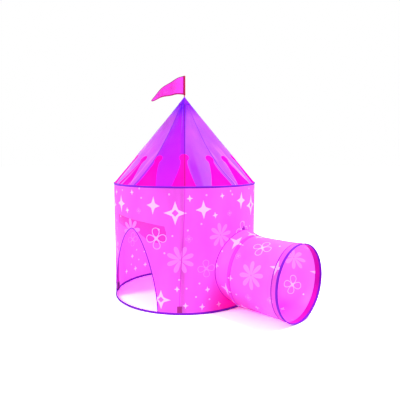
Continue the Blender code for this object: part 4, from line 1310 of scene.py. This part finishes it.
def tunnel_line(along, lift):
    return ring_of([tunnel_point(angle, along, lift) for angle in around(TUNNEL_COLUMNS)])


def casing_lift(along):
    share = abs(along - REAR_REACH) / CASING_HALF
    return HEM_LIFT + CASING_RISE * max(0.0, cos(pi / 2 * clamp(share))) ** 0.8


def tunnel():
    """The tunnel's cloth from the wall to the mouth, its casing seams, hem and tape."""
    depth = SADDLE_REACH - port_reach(90)
    tunnel_cloth("tunnel_root_cloth", lambda angle: port_reach(angle) + CLOTH_LAP, SADDLE_REACH,
                 TUNNEL_INKS, "tunnel_saddle", length=depth, rest="port_cord",
                 area=TUNNEL_GIRTH * depth * SADDLE_FILL)
    collar = tunnel_cloth("tunnel_collar_cloth", SADDLE_REACH, CASING_START + CLOTH_LAP,
                          TUNNEL_INKS, "tunnel_collar", length=REAR_REACH - SADDLE_REACH,
                          rest="rear_hoop")
    tunnel_cloth("rear_casing_cloth", CASING_START, CASING_END, CASING_INKS, "rear_hoop_casing",
                 body="tunnel_rear", lift=casing_lift, step=CASING_STEP,
                 length=2.4 * CASING_HALF, rest="rear_hoop")
    sleeve = tunnel_cloth("tunnel_sleeve_cloth", CASING_END - CLOTH_LAP, HEM_REACH, TUNNEL_INKS,
                          "tunnel_sleeve", body="tunnel_rear", length=HEM_REACH - REAR_REACH,
                          rest="rear_hoop")
    for name, inks, nodes, lift in (("cloth", HEM_INKS, ["mouth_hem"], HEM_LIFT),
                                    ("facing", [HEM_FACING], [], FACING_LIFT)):
        tunnel_cloth(f"mouth_hem_{name}", HEM_REACH, MOUTH_REACH - MOUTH_INSET, inks, *nodes,
                     body="tunnel_mouth", lift=lambda along: lift,
                     length=MOUTH_REACH - HEM_REACH, rest="mouth_hoop")
    for name, along, body, material in (
        ("rear_casing_seam_1", CASING_START, "tunnel_rear", CASING_SEAM),
        ("rear_casing_seam_2", CASING_END, "tunnel_rear", CASING_SEAM),
        ("mouth_hem_seam", HEM_REACH, "tunnel_mouth", HEM_SEAM),
    ):
        strip(name, tunnel_line(along, SEAM_LIFT), TUNNEL_SEAM, material, "wall_fabric", body=body,
              closed=True)
    strip("mouth_tape", tunnel_line(MOUTH_REACH, 0.0), tape_profile(MOUTH_TAPE_HEIGHT, True),
          TAPE, "binding_tape", "mouth_binding", body="tunnel_mouth", closed=True)
    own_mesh(collar)
    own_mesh(sleeve)


def port_tab():
    """The small folded loop of webbing sewn in over the port."""
    low, high = (corner.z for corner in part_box("port_tab"))
    heading = degrees(PORT_HEADING + asin(TUNNEL_SHIFT / TENT_RADIUS))
    rows = [(z, 0.0008, 1.0) for z in np.linspace(low - 0.002, high, 9)]
    rows.append((high + 0.0012, 0.0020, 0.1))
    rows += [(z, 0.0032, -1.0) for z in np.linspace(high, low, 9)]
    points = [wall_point(heading, z, lift) for z, lift, way in rows]
    outs = [radial(heading) * way for z, lift, way in rows]
    profile = [(TAB_WIDTH * share, 0.0) for share in (-0.5, -0.25, 0.0, 0.25, 0.5)]
    strip("port_tab_webbing", (points, outs), profile, TAB_WEBBING, "webbing", "port_tab")


# Pockets and flag

def pockets():
    """The webbing pockets that hold the poles' feet."""
    low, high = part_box("pole_pocket_front")
    back, front = -(high - AXIS).y, -(low - AXIS).y
    centre = (front + back) / 2
    deep = (front - back) / 2
    wide = (high.x - low.x) / 2

    def corner(turn):
        across, away = (copysign(abs(value) ** power, value)
                        for value, power in zip((cos(turn), sin(turn)), POCKET_SQUARE))
        return across * wide, away * deep

    rows = [(low.z, 0.0), (low.z, 0.94), (low.z + 0.002, 1.0)]
    for index in range(1, 7):
        rows.append((low.z + (high.z - low.z) * index / 6, 1.0 + POCKET_BULGE * sin(index)))
    rows += [(high.z, POCKET_MOUTH), (low.z + 0.03, POCKET_MOUTH)]
    faces = grid_faces(len(rows), POCKET_COLUMNS, ring=True)
    for side, azimuth in SIDES.items():
        out = radial(azimuth)
        aside = Vector((-out.y, out.x, 0.0))
        verts = [AXIS + aside * x * scale + out * (centre + y * scale) + above(z)
                 for z, scale in rows for x, y in loop_of(POCKET_COLUMNS, corner)]
        flats = [(vert.x + vert.y, vert.z) for vert in verts]
        pocket = weld(build(f"pocket_webbing_{side}", verts, faces, flats, [WEBBING]))
        settle(pocket, "webbing", f"pole_pocket_{side}")


def flag_point(x, y):
    """A point of the hanging pennant: x along it from the pole and y up from its middle."""
    share = x / FLAG_LENGTH
    swing = FLAG_WAVE * (sin(2 * pi * FLAG_WAVE_COUNT * share) * share**FLAG_WAVE_POWER)
    fall = FLAG_DROOP * share**FLAG_DROOP_POWER
    z = (HEM_TOP + HEM_BOTTOM) / 2 - fall + FLAG_WAVE_LIFT * swing
    buckle = FLAG_BUCKLE * noise.noise(Vector((share * 5.0, y * 30.0, 0.0))) * min(1.0, share * 4)
    return AXIS + Vector((-FLAGPOLE_R - FLAG_GAP - x, -swing - buckle, z + y))


def flag():
    """The pennant, cut with its hems, and the sewn tunnel that turns on the flagpole."""
    def edge(share, side):
        high = FLAG_HOIST * (1 - share) ** FLAG_TAPER + FLAG_TIP_HEIGHT * share - 0.002
        return (share * FLAG_LENGTH, side * high / 2)

    steps = [index / FLAG_COLUMNS for index in range(FLAG_COLUMNS + 1)]
    bottom = [edge(share, -1) for share in steps]
    top = [edge(share, 1) for share in steps[::-1]]
    outline = bottom + top + walk(edge(0.0, 1), edge(0.0, -1), 0.006)[1:]
    hem = bottom + [(x, y + FLAG_HEM * (1 - 0.5 * x / FLAG_LENGTH)) for x, y in bottom[::-1]]
    upper = top + [(x, y - FLAG_TOP_HEM) for x, y in top[::-1]]
    pennant = cut_cloth("flag_cloth", outline, flag_point, [FLAG_CLOTH, FLAG_EDGE, FLAG_TOP_EDGE],
                        prints=[(hem, 1), (upper, 2)], step=FLAG_STEP)
    settle(pennant, "flag_fabric", "flag", body="flag")
    points = [AXIS + above(z) for z in np.linspace(HEM_BOTTOM, HEM_TOP, 16)]
    outs = [Vector((-1.0, 0.0, 0.0))] * len(points)
    strip("flag_pole_sleeve", (points, outs), round_profile(FLAGPOLE_R + FLAG_SLEEVE_THICK, 20),
          FLAG_SLEEVE, "flag_fabric", body="flag", ring=True)
    loop_area(outline)


# Solids that stay, studio and camera

def dress_solids():
    """Better materials for the solids that stay: poles, elbows, hub, hoops and flagpole."""
    choices = (("pole_", FIBREGLASS), ("elbow", HUB_PLASTIC), ("hub", HUB_PLASTIC),
               ("_hoop", SPRING_STEEL), ("flagpole", POLE_PLASTIC))
    for name, shown in frame["nodes"].items():
        if shown.hide_render:
            continue
        for word, material in choices:
            if word in name:
                shown.data.materials.clear()
                shown.data.materials.append(material)


def seen_directly(tree):
    """1 for what the camera sees, also in a mirror or through glass."""
    rays = node(tree, "LightPath").outputs
    seen = maths(tree, "MAXIMUM", rays["Is Camera Ray"], rays["Is Glossy Ray"])
    return maths(tree, "MAXIMUM", seen, rays["Is Transmission Ray"])


def studio():
    """A pale floor under a plain white sky, with three soft lamps."""
    world = bpy.data.worlds.new("studio")
    bpy.context.scene.world = world
    world.use_nodes = True
    tree = world.node_tree
    tree.nodes.clear()
    level = add(tree, "Mix", {0: seen_directly(tree), 2: SKY_LIGHT, 3: 1.0}, data_type="FLOAT")
    sky = add(tree, "Background", {0: (1.0, 1.0, 1.0, 1.0), 1: level})
    node(tree, "OutputWorld", {0: sky})

    material, tree = new_tree("studio_floor")
    tint = mixed(tree, seen_directly(tree), (0.80, 0.80, 0.80, 1.0), (1.80, 1.80, 1.80, 1.0))
    node(tree, "OutputMaterial", {0: add(tree, "BsdfDiffuse", {0: tint})})
    size = 40.0
    flats = [(-size, -size), (size, -size), (size, size), (-size, size)]
    floor = build("studio_floor", [(x, y, 0.0) for x, y in flats], [(0, 1, 2, 3)], flats,
                  [material])
    floor.location.z = FLOOR_DROP

    lamps = (("softbox_right", (1.9, -1.1, 3.4), 148.0, 0.8),
             ("softbox_left", (-2.6, -1.6, 1.5), 54.0, 1.2),
             ("softbox_back", (-0.4, 3.6, 1.8), 80.0, 3.6))
    for name, place, power, width in lamps:
        light = bpy.data.lights.new(name, "AREA")
        light.energy = power
        light.size = width
        lamp = link(name, light)
        lamp.location = AXIS + Vector(place)
        aim = AXIS + above(LAMP_AIM) - lamp.location
        lamp.rotation_euler = aim.to_track_quat("-Z", "Y").to_euler()


def camera():
    data = bpy.data.cameras.new("camera")
    data.lens = CAMERA_LENS
    data.sensor_width = SENSOR
    made = link("camera", data)
    made.location = AXIS + Vector(CAMERA_PLACE)
    made.rotation_euler = (radians(90.0 - CAMERA_PITCH), 0.0, radians(-CAMERA_YAW))
    bpy.context.scene.camera = made


for item in list(bpy.data.objects):
    if item.type in ("LIGHT", "CAMERA"):
        bpy.data.objects.remove(item, do_unlink=True)
bpy.context.scene.view_settings.view_transform = "Standard"
camera()
studio()
walls()
tapes()
wall_seams()
pipings()
roof()
roof_seams()
apex_cap()
door_flap()
tunnel()
port_tab()
pockets()
flag()
dress_solids()
